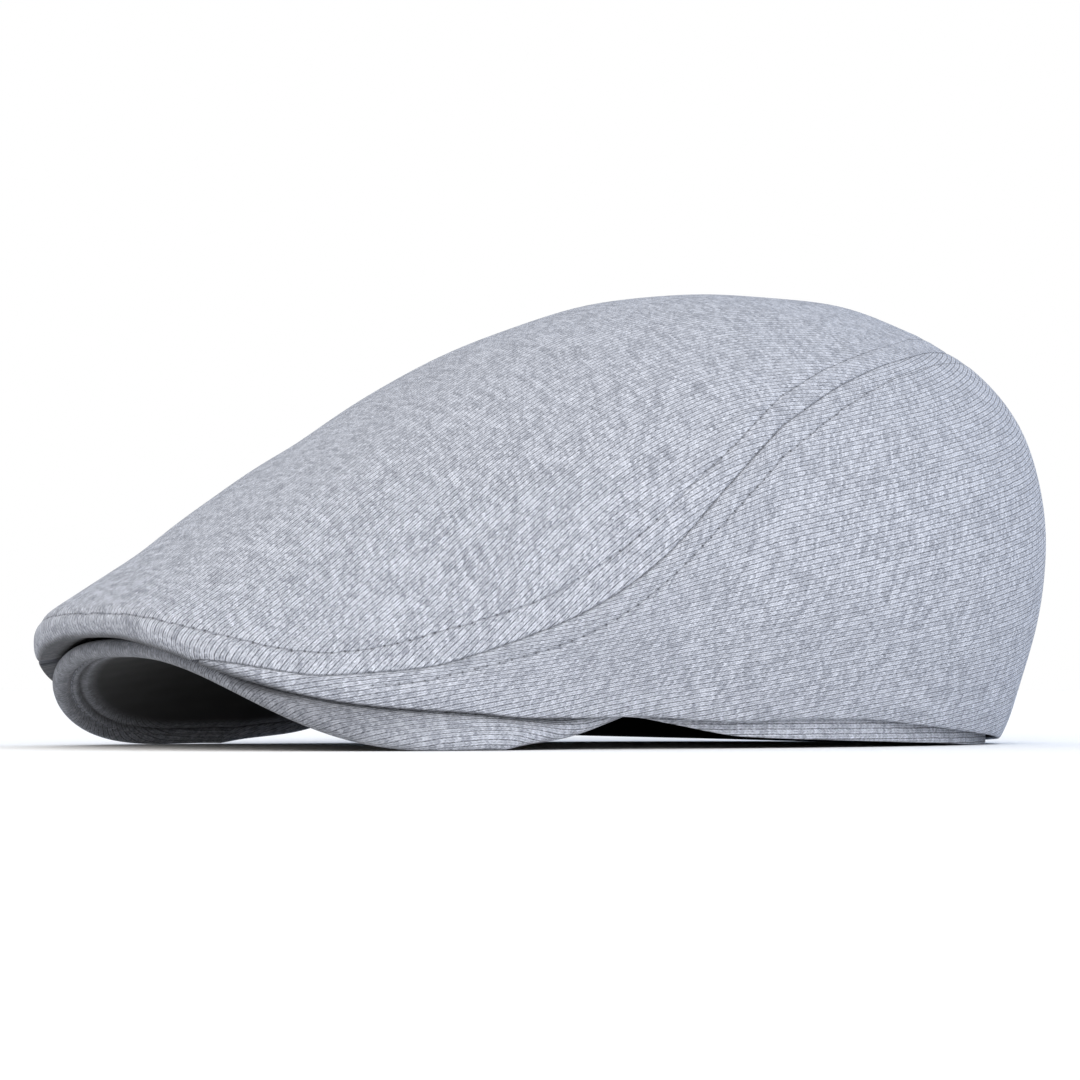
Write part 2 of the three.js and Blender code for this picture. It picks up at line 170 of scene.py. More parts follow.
def smooth_curve(xs: Sequence[float], ys: Sequence[float], level_end: bool = False) -> Curve:
    """Makes a cubic spline through points, straight at its ends, or level at the last one.

    Args:
        xs: Places of the points, rising.
        ys: Values at the points.
        level_end: Whether the slope at the last point is zero.

    Returns:
        The curve as a function of place.
    """
    xs, ys = np.asarray(xs, float), np.asarray(ys, float)
    gaps, slopes = np.diff(xs), np.diff(ys) / np.diff(xs)
    system, right = np.eye(len(xs)), np.zeros(len(xs))
    for i in range(1, len(xs) - 1):
        system[i, i - 1 : i + 2] = gaps[i - 1], 2 * (gaps[i - 1] + gaps[i]), gaps[i]
        right[i] = 6 * (slopes[i] - slopes[i - 1])
    if level_end:
        system[-1, -2:] = gaps[-1], 2 * gaps[-1]
        right[-1] = -6 * slopes[-1]
    bend = np.linalg.solve(system, right)

    def value(at: Array) -> Array:
        """Value of the spline at a place.

        Args:
            at: The places.

        Returns:
            The values there.
        """
        x = np.clip(at, xs[0], xs[-1])
        i = np.clip(np.searchsorted(xs, x, side="right") - 1, 0, len(xs) - 2)
        a = (xs[i + 1] - x) / gaps[i]
        b = 1 - a
        curl = ((a**3 - a) * bend[i] + (b**3 - b) * bend[i + 1]) * gaps[i] ** 2 / 6
        return a * ys[i] + b * ys[i + 1] + curl

    return value


def steady_curve(rows: Sequence[Turn], scale: float = 1.0) -> Curve:
    """Makes a curve through a table's points that never swings past them.

    Args:
        rows: The table, by rising angle.
        scale: Factor of the values.

    Returns:
        The curve as a function of degrees.
    """
    xs = np.array([row.angle for row in rows], float)
    ys = np.array([row.value for row in rows], float) * scale
    slopes = np.diff(ys) / np.diff(xs)
    tangent = np.zeros(len(xs))
    before, after = slopes[:-1], slopes[1:]
    same_way = before * after > 0
    both = np.where(same_way, before + after, 1)
    tangent[1:-1] = np.where(same_way, 2 * before * after / both, 0)

    def value(at: Array) -> Array:
        """Value of the curve at an angle.

        Args:
            at: The angles, in degrees.

        Returns:
            The values there.
        """
        x = np.clip(at, xs[0], xs[-1])
        i = np.clip(np.searchsorted(xs, x, side="right") - 1, 0, len(xs) - 2)
        width = xs[i + 1] - xs[i]
        t = (x - xs[i]) / width
        lean = (t - 1) * t * width * ((t - 1) * tangent[i] + t * tangent[i + 1])
        return blend(ys[i], ys[i + 1], (3 - 2 * t) * t * t) + lean

    return value


def soft_waves(points: Array, wavelength: float, seed: int) -> Array:
    """Gentle waves in space, from about -1 to 1, for the play of soft cloth.

    Args:
        points: Points as rows of three.
        wavelength: Mean length of a wave.
        seed: Seed of the waves' directions.

    Returns:
        The waves' height at each point.
    """
    chance = np.random.default_rng(seed)
    total = np.zeros(points.shape[:-1])
    for _ in range(WAVES):
        way = unit(chance.normal(size=3)) * 2 * np.pi / (wavelength * chance.uniform(*WAVE_SPREAD))
        total += np.sin(points @ way + chance.uniform(0, 2 * np.pi))
    return total / (WAVES / 2)


def run_along(points: Array, axis: int = 0) -> Array:
    """Length along lines of points, from 0 at the first point of each.

    Args:
        points: Points as rows of two or three.
        axis: The direction in which the lines run.

    Returns:
        The length at each point.
    """
    steps = np.diff(points, axis=axis, prepend=np.take(points, [0], axis=axis))
    return np.cumsum(np.linalg.norm(steps, axis=-1), axis=axis)


def bell(distance: Array, width: float) -> Array:
    """Bell-shaped share: 1 on a line, and fading over a width beside it."""
    return np.exp(-((distance / width) ** 2))


def rounding(distance: Array, width: float) -> Array:
    """Share by which a rounded edge falls away: 1 at the edge, 0 from a width in."""
    outward = np.clip(1 - distance / width, 0, 1)
    return 1 - np.sqrt(np.maximum(1 - outward**2, 0))


@dataclass(frozen=True)
class CapSizes:
    """Driving sizes of the cap, the same as the solids have."""

    height: float = 121.7 * MM
    half_length: float = 142 * MM
    half_width: float = 91 * MM
    cloth: float = 1.8 * MM
    seam_gap: float = 0.3 * MM
    side_edge_lift: float = 7.6 * MM
    front_edge_clearance: float = 0.35 * MM
    front_tuck: float = 9 * MM
    front_tuck_rings: float = 1.6
    front_tuck_hold: tuple[float, float] = (30, 56)
    peak_thickness: float = 4.6 * MM
    peak_set_back: float = 7.8 * MM
    peak_ledge: float = 1.9 * MM
    peak_length: float = 52 * MM
    peak_waist_length: float = 67.5 * MM
    peak_side_length: float = 106 * MM
    peak_rim_power: float = 2.93
    peak_rear_taper: float = 6 * MM
    peak_taper_ease: float = 0.6
    peak_waist_share: float = 0.7
    peak_crest: float = 25.6 * MM
    peak_arch: float = 30.2 * MM
    peak_arch_power: float = 2.6
    peak_hold: tuple[float, float] = (64, 74)
    peak_hold_blend: float = 0.8 * MM
    band_thickness: float = 1.6 * MM
    band_height: float = 27 * MM
    band_edge_lift: float = 8.1 * MM
    band_side_clearance: float = 1.5 * MM
    band_back_clearance: float = 0.4 * MM
    band_tail_power: float = 1.9
    band_edge_below_peak: float = 1.6 * MM
    band_waist_share: float = 0.0592
    band_peak_hold: tuple[float, float] = (54, 70)


class CapForm:
    """The cap's surfaces as functions: crown, peak and sweatband."""

    TURN_STEP = 0.02
    SLOPE_STEP = 0.2 * MM
    LEAST_SLANT = 0.3

    def __init__(self, sizes: CapSizes) -> None:
        """Works the curves out from the sizes and the tables.

        Args:
            sizes: The driving sizes.
        """
        self.sizes = sizes
        rings = np.arange(len(CROWN_RINGS))

        def column(name: str, scale: float = 1.0, level_end: bool = False) -> Curve:
            """One column of the crown's table as a curve over the ring count."""
            return smooth_curve(rings, [getattr(ring, name) * scale for ring in CROWN_RINGS], level_end)

        self.level = column("level", sizes.height, True)
        self.follow = column("edge", 1.0, True)
        self.front = column("front", sizes.half_length)
        self.back = column("back", sizes.half_length)
        self.width = column("width", sizes.half_width)
        self.waist = column("waist", sizes.half_length)
        self.nose = column("nose")
        self.tail = column("tail")
        self.side_edge = steady_curve(SIDE_EDGE, sizes.side_edge_lift)
        self.band_edge = steady_curve(BAND_EDGE, sizes.band_edge_lift)
        self.seam = steady_curve(PANEL_SEAM)
        edge_half_width = float(self.width(0))
        self.peak_half_width = edge_half_width + sizes.peak_ledge - sizes.peak_thickness / 2
        self.peak_tip = float(self.front(0)) + sizes.peak_set_back
        self.peak_waist = self.peak_tip + sizes.peak_waist_length
        self.peak_rear = self.peak_tip + sizes.peak_side_length
        self.band_half_width = edge_half_width - sizes.cloth - sizes.band_side_clearance
        self.band_waist = sizes.band_waist_share * sizes.half_length
        self.band_front = self.peak_tip + sizes.peak_length
        self.band_back = float(self.back(0)) - sizes.cloth - sizes.band_back_clearance
        self.peak_climb = smooth_curve(
            [self.peak_tip + along * sizes.peak_side_length for along, _ in PEAK_CLIMB],
            [rise * sizes.peak_arch for _, rise in PEAK_CLIMB],
        )

    def peak_middle(self, x: Array, y: Array) -> Array:
        """Height of the peak's middle surface."""
        arch = self.sizes.peak_arch * (np.abs(x) / self.peak_half_width) ** self.sizes.peak_arch_power
        return self.sizes.peak_crest + self.peak_climb(y) - arch

    def peak_normal(self, x: Array, y: Array) -> Array:
        """Upward normal of the peak's middle surface.

        Args:
            x: Places across the cap.
            y: Places along the cap, rearward.

        Returns:
            The normal at each place.
        """
        step = self.SLOPE_STEP
        slope_x = (self.peak_middle(x + step, y) - self.peak_middle(x - step, y)) / (2 * step)
        slope_y = (self.peak_middle(x, y + step) - self.peak_middle(x, y - step)) / (2 * step)
        return unit(np.stack([-slope_x, -slope_y, np.ones_like(slope_x)], -1))

    def peak_rim(self, share: Array) -> Array:
        """Plan of the rim, from one rear end (-1) round the tip (0) to the other (1).

        Args:
            share: Shares of the way from the tip to an end.

        Returns:
            The place of each point, across and along the cap.
        """
        size = self.sizes
        way = np.abs(share)
        turn = np.clip(way / size.peak_waist_share, 0, 1) * np.pi / 2
        rearward = np.clip((way - size.peak_waist_share) / (1 - size.peak_waist_share), 0, 1)
        reach = square_round(turn, size.peak_rim_power)
        tucked = size.peak_rear_taper * smooth_step(rearward**size.peak_taper_ease, 0, 1)
        x = np.sign(share) * (self.peak_half_width * reach * np.sin(turn) - tucked)
        front = size.peak_waist_length * reach * np.cos(turn)
        return np.stack([x, self.peak_waist - front + rearward * (self.peak_rear - self.peak_waist)], -1)

    def peak_root(self, share: Array) -> Array:
        """Plan of the root, which follows the sweatband from end to end.

        Args:
            share: Shares of the way from the middle to an end, -1 to 1.

        Returns:
            The place of each point, across and along the cap.
        """
        gap = self.sizes.seam_gap
        end = math.acos((self.band_waist - self.peak_rear) / (self.band_waist - self.band_front + gap))
        return self.band_plan(share * end, gap)

    def band_plan(self, angle: Array, push: float = 0.0) -> Array:
        """Plan of the sweatband's outer face, pushed out by a distance.

        Args:
            angle: Angles round from the front, in radians, negative on the right.
            push: How far it is pushed out.

        Returns:
            The place of each point, across and along the cap.
        """
        forward = np.cos(angle)
        ahead = forward > 0
        reach = square_round(angle, np.where(ahead, 2.0, self.sizes.band_tail_power))
        half = np.where(ahead, self.band_waist - self.band_front, self.band_back - self.band_waist) + push
        x = (self.band_half_width + push) * reach * np.sin(angle)
        return np.stack([x, self.band_waist - half * reach * forward], -1)

    def band_lift(self, angle: Array) -> Array:
        """Height of the sweatband's lower edge: cut to the peak in front, to the floor at the back.

        Args:
            angle: Angles round from the front, in radians, negative on the right.

        Returns:
            The height at each angle.
        """
        turned = np.degrees(np.abs(angle))
        plan = self.band_plan(angle)
        on_peak = self.peak_middle(plan[..., 0], plan[..., 1]) - self.sizes.band_edge_below_peak
        return blend(on_peak, self.band_edge(turned), smooth_step(turned, *self.sizes.band_peak_hold))

    def plan(self, angle: Array, ring: Array) -> Array:
        """Plan of a ring of the crown.

        Args:
            angle: Angles round from the front, in radians, negative on the right.
            ring: Ring counts up from the lower edge.

        Returns:
            The place of each point, across and along the cap.
        """
        forward = np.cos(angle)
        ahead = forward > 0
        waist = self.waist(ring)
        reach = square_round(angle, np.where(ahead, self.nose(ring), self.tail(ring)))
        half = np.where(ahead, waist - self.front(ring), self.back(ring) - waist)
        return np.stack([self.width(ring) * reach * np.sin(angle), waist - half * reach * forward], -1)

    def over_peak(self, x: Array, y: Array) -> Array:
        """Height just above the peak's upper face.

        Args:
            x: Places across the cap.
            y: Places along the cap, rearward.

        Returns:
            The height at each place.
        """
        size = self.sizes
        slant = np.maximum(self.peak_normal(x, y)[..., 2], self.LEAST_SLANT)
        return self.peak_middle(x, y) + size.peak_thickness / 2 / slant + size.front_edge_clearance

    def edge_lift(self, angle: Array) -> Array:
        """Height of the crown's lower edge: it lies on the peak in front and hangs free at the sides.

        Args:
            angle: Angles round from the front, in radians, negative on the right.

        Returns:
            The height at each angle.
        """
        size = self.sizes
        turned = np.degrees(np.abs(angle))
        free = smooth_step(turned, *size.peak_hold)
        edge = self.plan(angle, np.zeros_like(angle))
        length = np.linalg.norm(edge, axis=-1, keepdims=True)
        edge = edge * (length - size.cloth) / length
        on_peak = self.over_peak(edge[..., 0], edge[..., 1])
        side = self.side_edge(turned)
        higher = (on_peak + side + np.hypot(on_peak - side, size.peak_hold_blend)) / 2
        return blend(higher, side, free)

    def crown(self, angle: Array, ring: Array) -> Array:
        """Point of the crown's outer surface.

        Args:
            angle: Angles round from the front, in radians, negative on the right.
            ring: Ring counts up from the lower edge.

        Returns:
            The points.
        """
        angle, ring = np.broadcast_arrays(np.asarray(angle, float), np.asarray(ring, float))
        height = self.level(ring) + self.edge_lift(angle) * self.follow(ring)
        return np.concatenate([self.plan(angle, ring), height[..., None]], -1)

    def crown_normal(self, angle: Array, ring: Array) -> Array:
        """Outward normal of the crown's surface.

        Args:
            angle: Angles round from the front, in radians, negative on the right.
            ring: Ring counts up from the lower edge.

        Returns:
            The normal at each point.
        """
        step = self.TURN_STEP
        low, high = np.maximum(ring - step, 0), np.minimum(ring + step, APEX_RING)
        round_way = self.crown(angle + step, ring) - self.crown(angle - step, ring)
        up_way = self.crown(angle, high) - self.crown(angle, low)
        normal = unit(np.cross(round_way, up_way))
        normal[ring > APEX_RING - 2 * step] = (0, 0, 1)
        return normal

    def front_tuck(self, angle: Array, ring: Array) -> Array:
        """How far the inner face is drawn in behind the front roll."""
        hold = 1 - smooth_step(np.degrees(np.abs(angle)), *self.sizes.front_tuck_hold)
        return self.sizes.front_tuck * hold * np.maximum(1 - ring / self.sizes.front_tuck_rings, 0)

    def crown_inside(self, angle: Array, ring: Array) -> Array:
        """Point of the crown's inner surface.

        Args:
            angle: Angles round from the front, in radians, negative on the right.
            ring: Ring counts up from the lower edge.

        Returns:
            The points.
        """
        inside = self.crown(angle, ring) - self.crown_normal(angle, ring) * self.sizes.cloth
        tuck = self.front_tuck(angle, ring)
        length = np.maximum(np.linalg.norm(inside[..., :2], axis=-1), 1e-9)
        plan = inside[..., :2] * ((length - tuck) / length)[..., None]
        on_peak = np.maximum(inside[..., 2], self.over_peak(plan[..., 0], plan[..., 1]))
        height = np.where(tuck > 0, on_peak, inside[..., 2])
        return np.concatenate([plan, height[..., None]], -1)

    def up_crown(self, angle: Array, ring: Array, distance: float) -> Array:
        """Ring count a distance further up the crown.

        Args:
            angle: Angles round from the front, in radians, negative on the right.
            ring: Ring counts up from the lower edge.
            distance: How far to go, negative for down.

        Returns:
            The new ring counts.
        """
        start = np.clip(ring, 0, APEX_RING - 1)
        step = np.linalg.norm(self.crown(angle, start + 1) - self.crown(angle, start), axis=-1)
        return ring + distance / step


class Line:
    """A line along the surface, such as a seam or a row of stitches, that can be measured to."""

    def __init__(self, points: Array, up: Array) -> None:
        """Keeps the line and makes it searchable.

        Args:
            points: Points along the line.
            up: Outward normals of the surface at them.
        """
        self.points = points
        self.up = up
        self.run = run_along(points)
        self.spacing = float(self.run[-1]) / (len(points) - 1)
        self.tangent = unit(np.gradient(points, axis=0))
        self.left = np.cross(up, self.tangent)
        self.tree = kdtree.KDTree(len(points))
        for i, point in enumerate(points):
            self.tree.insert(point, i)
        self.tree.balance()

    def measure(self, points: Array) -> tuple[Array, Array]:
        """Measures points against the line.

        Args:
            points: Points as a grid of rows of three.

        Returns:
            How far along the line each point lies, and how far from it, less than 0 on its right.
        """
        flat = points.reshape(-1, 3)
        nearest = np.array([self.tree.find(point)[1] for point in flat])
        away = flat - self.points[nearest]
        along = np.clip(np.sum(away * self.tangent[nearest], -1), -self.spacing, self.spacing)
        away = away - self.tangent[nearest] * along[:, None]
        side = np.where(np.sum(away * self.left[nearest], -1) < 0, -1.0, 1.0)
        distance = side * np.linalg.norm(away, axis=-1)
        shape = points.shape[:-1]
        return (self.run[nearest] + along).reshape(shape), distance.reshape(shape)


def panel_line(form: CapForm, rows: Sequence[Turn], first: float, last: float, sink: float = 0.0) -> Line:
    """Makes a line on the crown from a table of rings.

    Args:
        form: The cap's surfaces.
        rows: The table of rings.
        first: Angle at which the line starts, in degrees, negative on the right.
        last: Angle at which it ends.
        sink: How deep it lies in the cloth.

    Returns:
        The line.
    """
    angle = np.radians(np.linspace(first, last, LINE_POINTS))
    ring = np.maximum(steady_curve(rows)(np.degrees(np.abs(angle))), 0)
    up = form.crown_normal(angle, ring)
    return Line(form.crown(angle, ring) - up * sink, up)


def hem_line(form: CapForm) -> Line:
    """Makes the line of the crown's lower edge where it lies on the peak."""
    return panel_line(form, (Turn(0, 0), Turn(180, 0)), -HEM_TURN, HEM_TURN)


def crease(distance: Array, dark: float, width: Array | float) -> Array:
    """Painted shade in a crease, by the distance from it.

    Args:
        distance: How far each point is from the crease.
        dark: Shade in the crease itself.
        width: Distance at which the shade ends.

    Returns:
        The shade at each point.
    """
    return dark * (1 - smooth_step(np.abs(distance) / width, 0, 1))


@dataclass(frozen=True)
class HemCrease:
    """Painted shade in the crown-peak crease: wide under the front roll, a thin line at the sides."""

    dark: float
    front: float
    side: float
    change: tuple[float, float] = (52 * MM, 70 * MM)

    def shade(self, line: Line, points: Array) -> Array:
        """Shade that the crease gives to points near it.

        Args:
            line: The line of the crown's lower edge.
            points: The points.

        Returns:
            The shade at each point.
        """
        width = blend(self.front, self.side, smooth_step(np.abs(points[..., 0]), *self.change))
        return crease(line.measure(points)[1], self.dark, width)


@dataclass
class Skin:
    """One face of a sheet of cloth: its points, and what the finish reads at each of them."""

    points: Array
    weave: Array
    row: Array
    shade: Array

    @classmethod
    def of(cls, points: Array, weave: Array, row: Optional[Array] = None,
           shade: float | Array = 0.0) -> "Skin":
        """Fills in what isn't given: no stitch row or seam near, and no shade.

        Args:
            points: The points, columns round and rows up.
            weave: How far each lies across and along the columns of loops.
            row: How far each lies along its stitch row, from that row, and from the seam.
            shade: How much painted shade darkens the cloth there.

        Returns:
            The skin.
        """
        far = np.ones(points.shape[:-1] + (3,))
        dark = np.broadcast_to(np.asarray(shade, float), points.shape[:-1])
        return cls(points, weave, far if row is None else row, dark)


def put(name: str, data: bpy.types.ID) -> bpy.types.Object:
    """Puts a new object with its data into the scene, at the origin.

    Args:
        name: Its name.
        data: Its mesh, lamp or lens.

    Returns:
        The object.
    """
    made = bpy.data.objects.new(name, data)
    bpy.context.scene.collection.objects.link(made)
    return made


def closed_sheet(name: str, outer: Skin, inner: Skin, around: bool = False,
                 poles: bool = False) -> bpy.types.Object:
    """Makes one closed sheet of cloth from its two faces.

    Args:
        name: Name of the piece.
        outer: The face that shows, columns round and rows up.
        inner: The hidden face, with the same columns.
        around: Whether the last column meets the first one.
        poles: Whether the last row is drawn together in a pole.

    Returns:
        The new object, smooth shaded.
    """
    def flat(skin: Skin) -> list[Array]:
        """The skin's values with one row for each point."""
        weave = np.concatenate([skin.weave, np.zeros(skin.weave.shape[:-1] + (1,))], -1)
        return [part.reshape(-1, 3) for part in (skin.points, weave, skin.row)] + [skin.shade.reshape(-1, 1)]

    parts = [np.concatenate(pair) for pair in zip(flat(outer), flat(inner))]
    columns, rows = outer.points.shape[:2]
    inner_rows = inner.points.shape[1]
    out = np.arange(columns * rows).reshape(columns, rows)
    into = columns * rows + np.arange(columns * inner_rows).reshape(columns, inner_rows)
    here = np.arange(columns if around else columns - 1)
    beyond = (here + 1) % columns
    quads = [
        [out[here, :-1], out[beyond, :-1], out[beyond, 1:], out[here, 1:]],
        [into[here, :-1], into[here, 1:], into[beyond, 1:], into[beyond, :-1]],
        [out[here, 0], into[here, 0], into[beyond, 0], out[beyond, 0]],
    ]
    triangles = []
    if poles:
        tips = [np.stack([part[out[:, -1]].mean(0), part[into[:, -1]].mean(0)]) for part in parts]
        top = len(parts[0])
        parts = [np.concatenate([part, tip]) for part, tip in zip(parts, tips)]
        triangles += [[int(out[i, -1]), int(out[j, -1]), top] for i, j in zip(here, beyond)]
        triangles += [[int(into[j, -1]), int(into[i, -1]), top + 1] for i, j in zip(here, beyond)]
    else:
        quads.append([out[here, -1], out[beyond, -1], into[beyond, -1], into[here, -1]])
    if not around:
        quads.append([out[0, :-1], out[0, 1:], into[0, 1:], into[0, :-1]])
        quads.append([out[-1, :-1], into[-1, :-1], into[-1, 1:], out[-1, 1:]])
    faces = np.concatenate([np.stack([corner.ravel() for corner in quad], -1) for quad in quads]).tolist()
    mesh = bpy.data.meshes.new(name)
    mesh.from_pydata(parts[0].tolist(), [], faces + triangles)
    for label, kind, place, values in (
        ("weave", "FLOAT_VECTOR", "vector", parts[1]),
        ("row", "FLOAT_VECTOR", "vector", parts[2]),
        ("shade", "FLOAT", "value", parts[3]),
    ):
        attribute = mesh.attributes.new(label, kind, "POINT")
        attribute.data.foreach_set(place, values.astype(np.float32).ravel())
    mesh.shade_smooth()
    mesh.update()
    return put(name, mesh)


def linear(code: str) -> tuple[float, float, float, float]:
    """Turns an sRGB hex colour to linear red, green, blue and alpha.

    Args:
        code: The colour, as a hash sign and six digits.

    Returns:
        The four linear values.
    """
    values = [int(code[i : i + 2], 16) / 255 for i in (1, 3, 5)]
    red, green, blue = (v / 12.92 if v <= 0.04045 else ((v + 0.055) / 1.055) ** 2.4 for v in values)
    return red, green, blue, 1.0


def add_node(tree: bpy.types.NodeTree, kind: str, inputs: Optional[dict] = None,
             **settings) -> bpy.types.Node:
    """Adds a node with its settings and links.

    Args:
        tree: The tree it goes into.
        kind: Its type name.
        inputs: What goes into its inputs, by name or number: a value, an output socket, or a node
            whose first output is meant.
        **settings: Values of its own properties.

    Returns:
        The new node.
    """
    node = tree.nodes.new(kind)
    for label, value in settings.items():
        setattr(node, label, value)
    for label, value in (inputs or {}).items():
        socket = node.inputs[label]
        if isinstance(value, bpy.types.Node):
            value = value.outputs[0]
        if isinstance(value, bpy.types.NodeSocket):
            tree.links.new(value, socket)
        else:
            socket.default_value = value
    return node


def empty_tree(owner: bpy.types.Material | bpy.types.World) -> bpy.types.NodeTree:
    """Gives a material or a world an empty node tree.

    Args:
        owner: The material or world.

    Returns:
        Its tree.
    """
    owner.use_nodes = True
    owner.node_tree.nodes.clear()
    return owner.node_tree


@dataclass(frozen=True)
class HeatherJersey:
    """Cotton jersey knitted from yarn of mixed light and dark fibre, brushed a little inside.

    Its face shows fine upright columns of loops, each with two legs, and the mixed yarn draws pale and
    dark streaks across them. It is matt, with a faint sheen from loose fibre.
    """

    name: str = "heather_jersey"
    light: str = "#D7DBE6"
    dark: str = "#868A95"
    # Colour of painted shade in the knit's grooves, the needle holes, the stitch rows and the seam.
    groove: str = "#44464D"
    # Colour of painted shade: inner faces take it whole, outer faces lean to it by the shade attribute.
    inside: str = "#0D0D11"
    wale_pitch: float = 1.4 * MM
    course_pitch: float = 0.95 * MM
    loop_bend: float = 0.8
    drift: float = 6 * MM
    wobble: float = 0.35 * MM
    streak_length: float = 9 * MM
    streak_change: float = 0.45
    blotch: float = 5 * MM
    fibre: float = 0.8 * MM
    dash_width: float = 0.34 * MM
    dash_length: float = 0.8 * MM
    streak_share: float = 0.26
    blotch_share: float = 0.12
    dash_share: float = 0.50
    loop_share: float = 0.12
    tone: tuple[float, float] = (0.32, 0.68)
    column_dark: float = 0.72
    column_power: float = 6.0
    leg_dark: float = 0.52
    leg_power: float = 3.0
    broken_between: tuple[float, float] = (0.35, 0.65)
    broken_by: tuple[float, float] = (1.2, 0.5)
    stitch_pitch: float = 3.3 * MM
    hole: float = 0.42 * MM
    hole_edge: tuple[float, float] = (0.4, 1.5)
    hole_dark: float = 0.95
    row_width: float = 0.6 * MM
    row_dark: float = 0.54
    seam_width: tuple[float, float] = (0.1 * MM, 0.5 * MM)
    seam_dark: float = 0.5
    relief: float = 0.22 * MM
    relief_strength: float = 0.8
    loop_relief: float = 0.25
    column_relief: float = -0.6
    fibre_relief: float = 0.5
    sewn_relief: float = -2.0
    roughness: float = 0.93
    sheen: float = 0.12
    sheen_roughness: float = 0.6
    specular: float = 0.14

    def material(self) -> bpy.types.Material:
        """Builds the cloth's material.

        Returns:
            The material, which reads the piece's weave, row and shade.
        """
        made = bpy.data.materials.new(self.name)
        add = partial(add_node, empty_tree(made))
        weave = add("ShaderNodeAttribute", attribute_name="weave").outputs["Vector"]
        apart = add("ShaderNodeSeparateXYZ", {0: weave})
        drift = add(NOISE, {"Vector": weave, "Scale": 1 / self.drift, "Detail": 1.0})
        sway = add(MATH, {0: drift, 1: 0.5}, operation="SUBTRACT")
        across = add(MATH, {0: sway, 1: self.wobble, 2: apart.outputs["X"]}, operation="MULTIPLY_ADD")
        # Both go from 0 to 1 and back: once over each column of loops, and once over each leg.
        wale, leg = [
            add(MATH, {0: add(MATH, {0: across, 1: half}, operation="PINGPONG"), 1: half}, operation="DIVIDE")
            for half in (self.wale_pitch / 2, self.wale_pitch / 4)]
        bend = self.loop_bend * self.course_pitch
        along = add(MATH, {0: wale, 1: bend, 2: apart.outputs["Y"]}, operation="MULTIPLY_ADD")
        course = add(MATH, {0: along, 1: self.course_pitch}, operation="DIVIDE")
        turn = add(MATH, {0: course, 1: 2 * math.pi}, operation="MULTIPLY")
        loop = add(MATH, {0: turn}, operation="COSINE")
        yarn = add(MATH, {0: course}, operation="FLOOR")
        column = add(MATH, {0: across, 1: self.wale_pitch}, operation="DIVIDE")
        column = add(MATH, {0: column}, operation="ROUND")

        # Each course is one yarn, so the streaks of the mix run along it, across the columns.
        spot = add("ShaderNodeCombineXYZ", {
            "X": add(MATH, {0: across, 1: self.streak_length}, operation="DIVIDE"),
            "Y": add(MATH, {0: yarn, 1: self.streak_change}, operation="MULTIPLY")})
        streak = add(NOISE, {"Vector": spot, "Scale": 1.0, "Detail": 3.0, "Roughness": 0.65})
        blotch = add(NOISE, {"Vector": weave, "Scale": 1 / self.blotch, "Detail": 4.0, "Roughness": 0.7})
        fibre = add(NOISE, {"Vector": weave, "Scale": 1 / self.fibre, "Detail": 2.0, "Roughness": 0.6})
        # A loop's leg is longer than it is wide, so its pale and dark fibres show as short dashes.
        spot = add("ShaderNodeCombineXYZ", {
            "X": add(MATH, {0: across, 1: self.dash_width}, operation="DIVIDE"),
            "Y": add(MATH, {0: along, 1: self.dash_length}, operation="DIVIDE")})
        dash = add(NOISE, {"Vector": spot, "Scale": 1.0, "Detail": 2.0, "Roughness": 0.65})
        spot = add("ShaderNodeCombineXYZ", {"X": column, "Y": yarn})
        chance = add("ShaderNodeTexWhiteNoise", {"Vector": spot})
        mix = 0.0
        for part, share in ((streak, self.streak_share), (blotch, self.blotch_share),
                            (dash, self.dash_share), (chance, self.loop_share)):
            mix = add(MATH, {0: part, 1: share, 2: mix}, operation="MULTIPLY_ADD")
        tone = add(RANGE, {
            "Value": mix, "From Min": self.tone[0], "From Max": self.tone[1]},
            interpolation_type="SMOOTHSTEP")

        # Grooves lie between the columns, and finer ones between the two legs of a loop.
        # The grooves' shade is painted into the colour, towards the groove colour.
        deep = add(MATH, {0: wale, 1: self.column_power}, operation="POWER")
        fine = add(MATH, {0: 1.0, 1: leg}, operation="SUBTRACT")
        fine = add(MATH, {0: fine, 1: self.leg_power}, operation="POWER")
        gap = add(MATH, {0: deep, 1: self.column_dark}, operation="MULTIPLY")
        gap = add(MATH, {0: fine, 1: self.leg_dark, 2: gap}, operation="MULTIPLY_ADD")
        broken = add(RANGE, {
            "Value": dash, "From Min": self.broken_between[0], "From Max": self.broken_between[1],
            "To Min": self.broken_by[0], "To Max": self.broken_by[1]})
        gap = add(MATH, {0: gap, 1: broken}, operation="MULTIPLY", use_clamp=True)

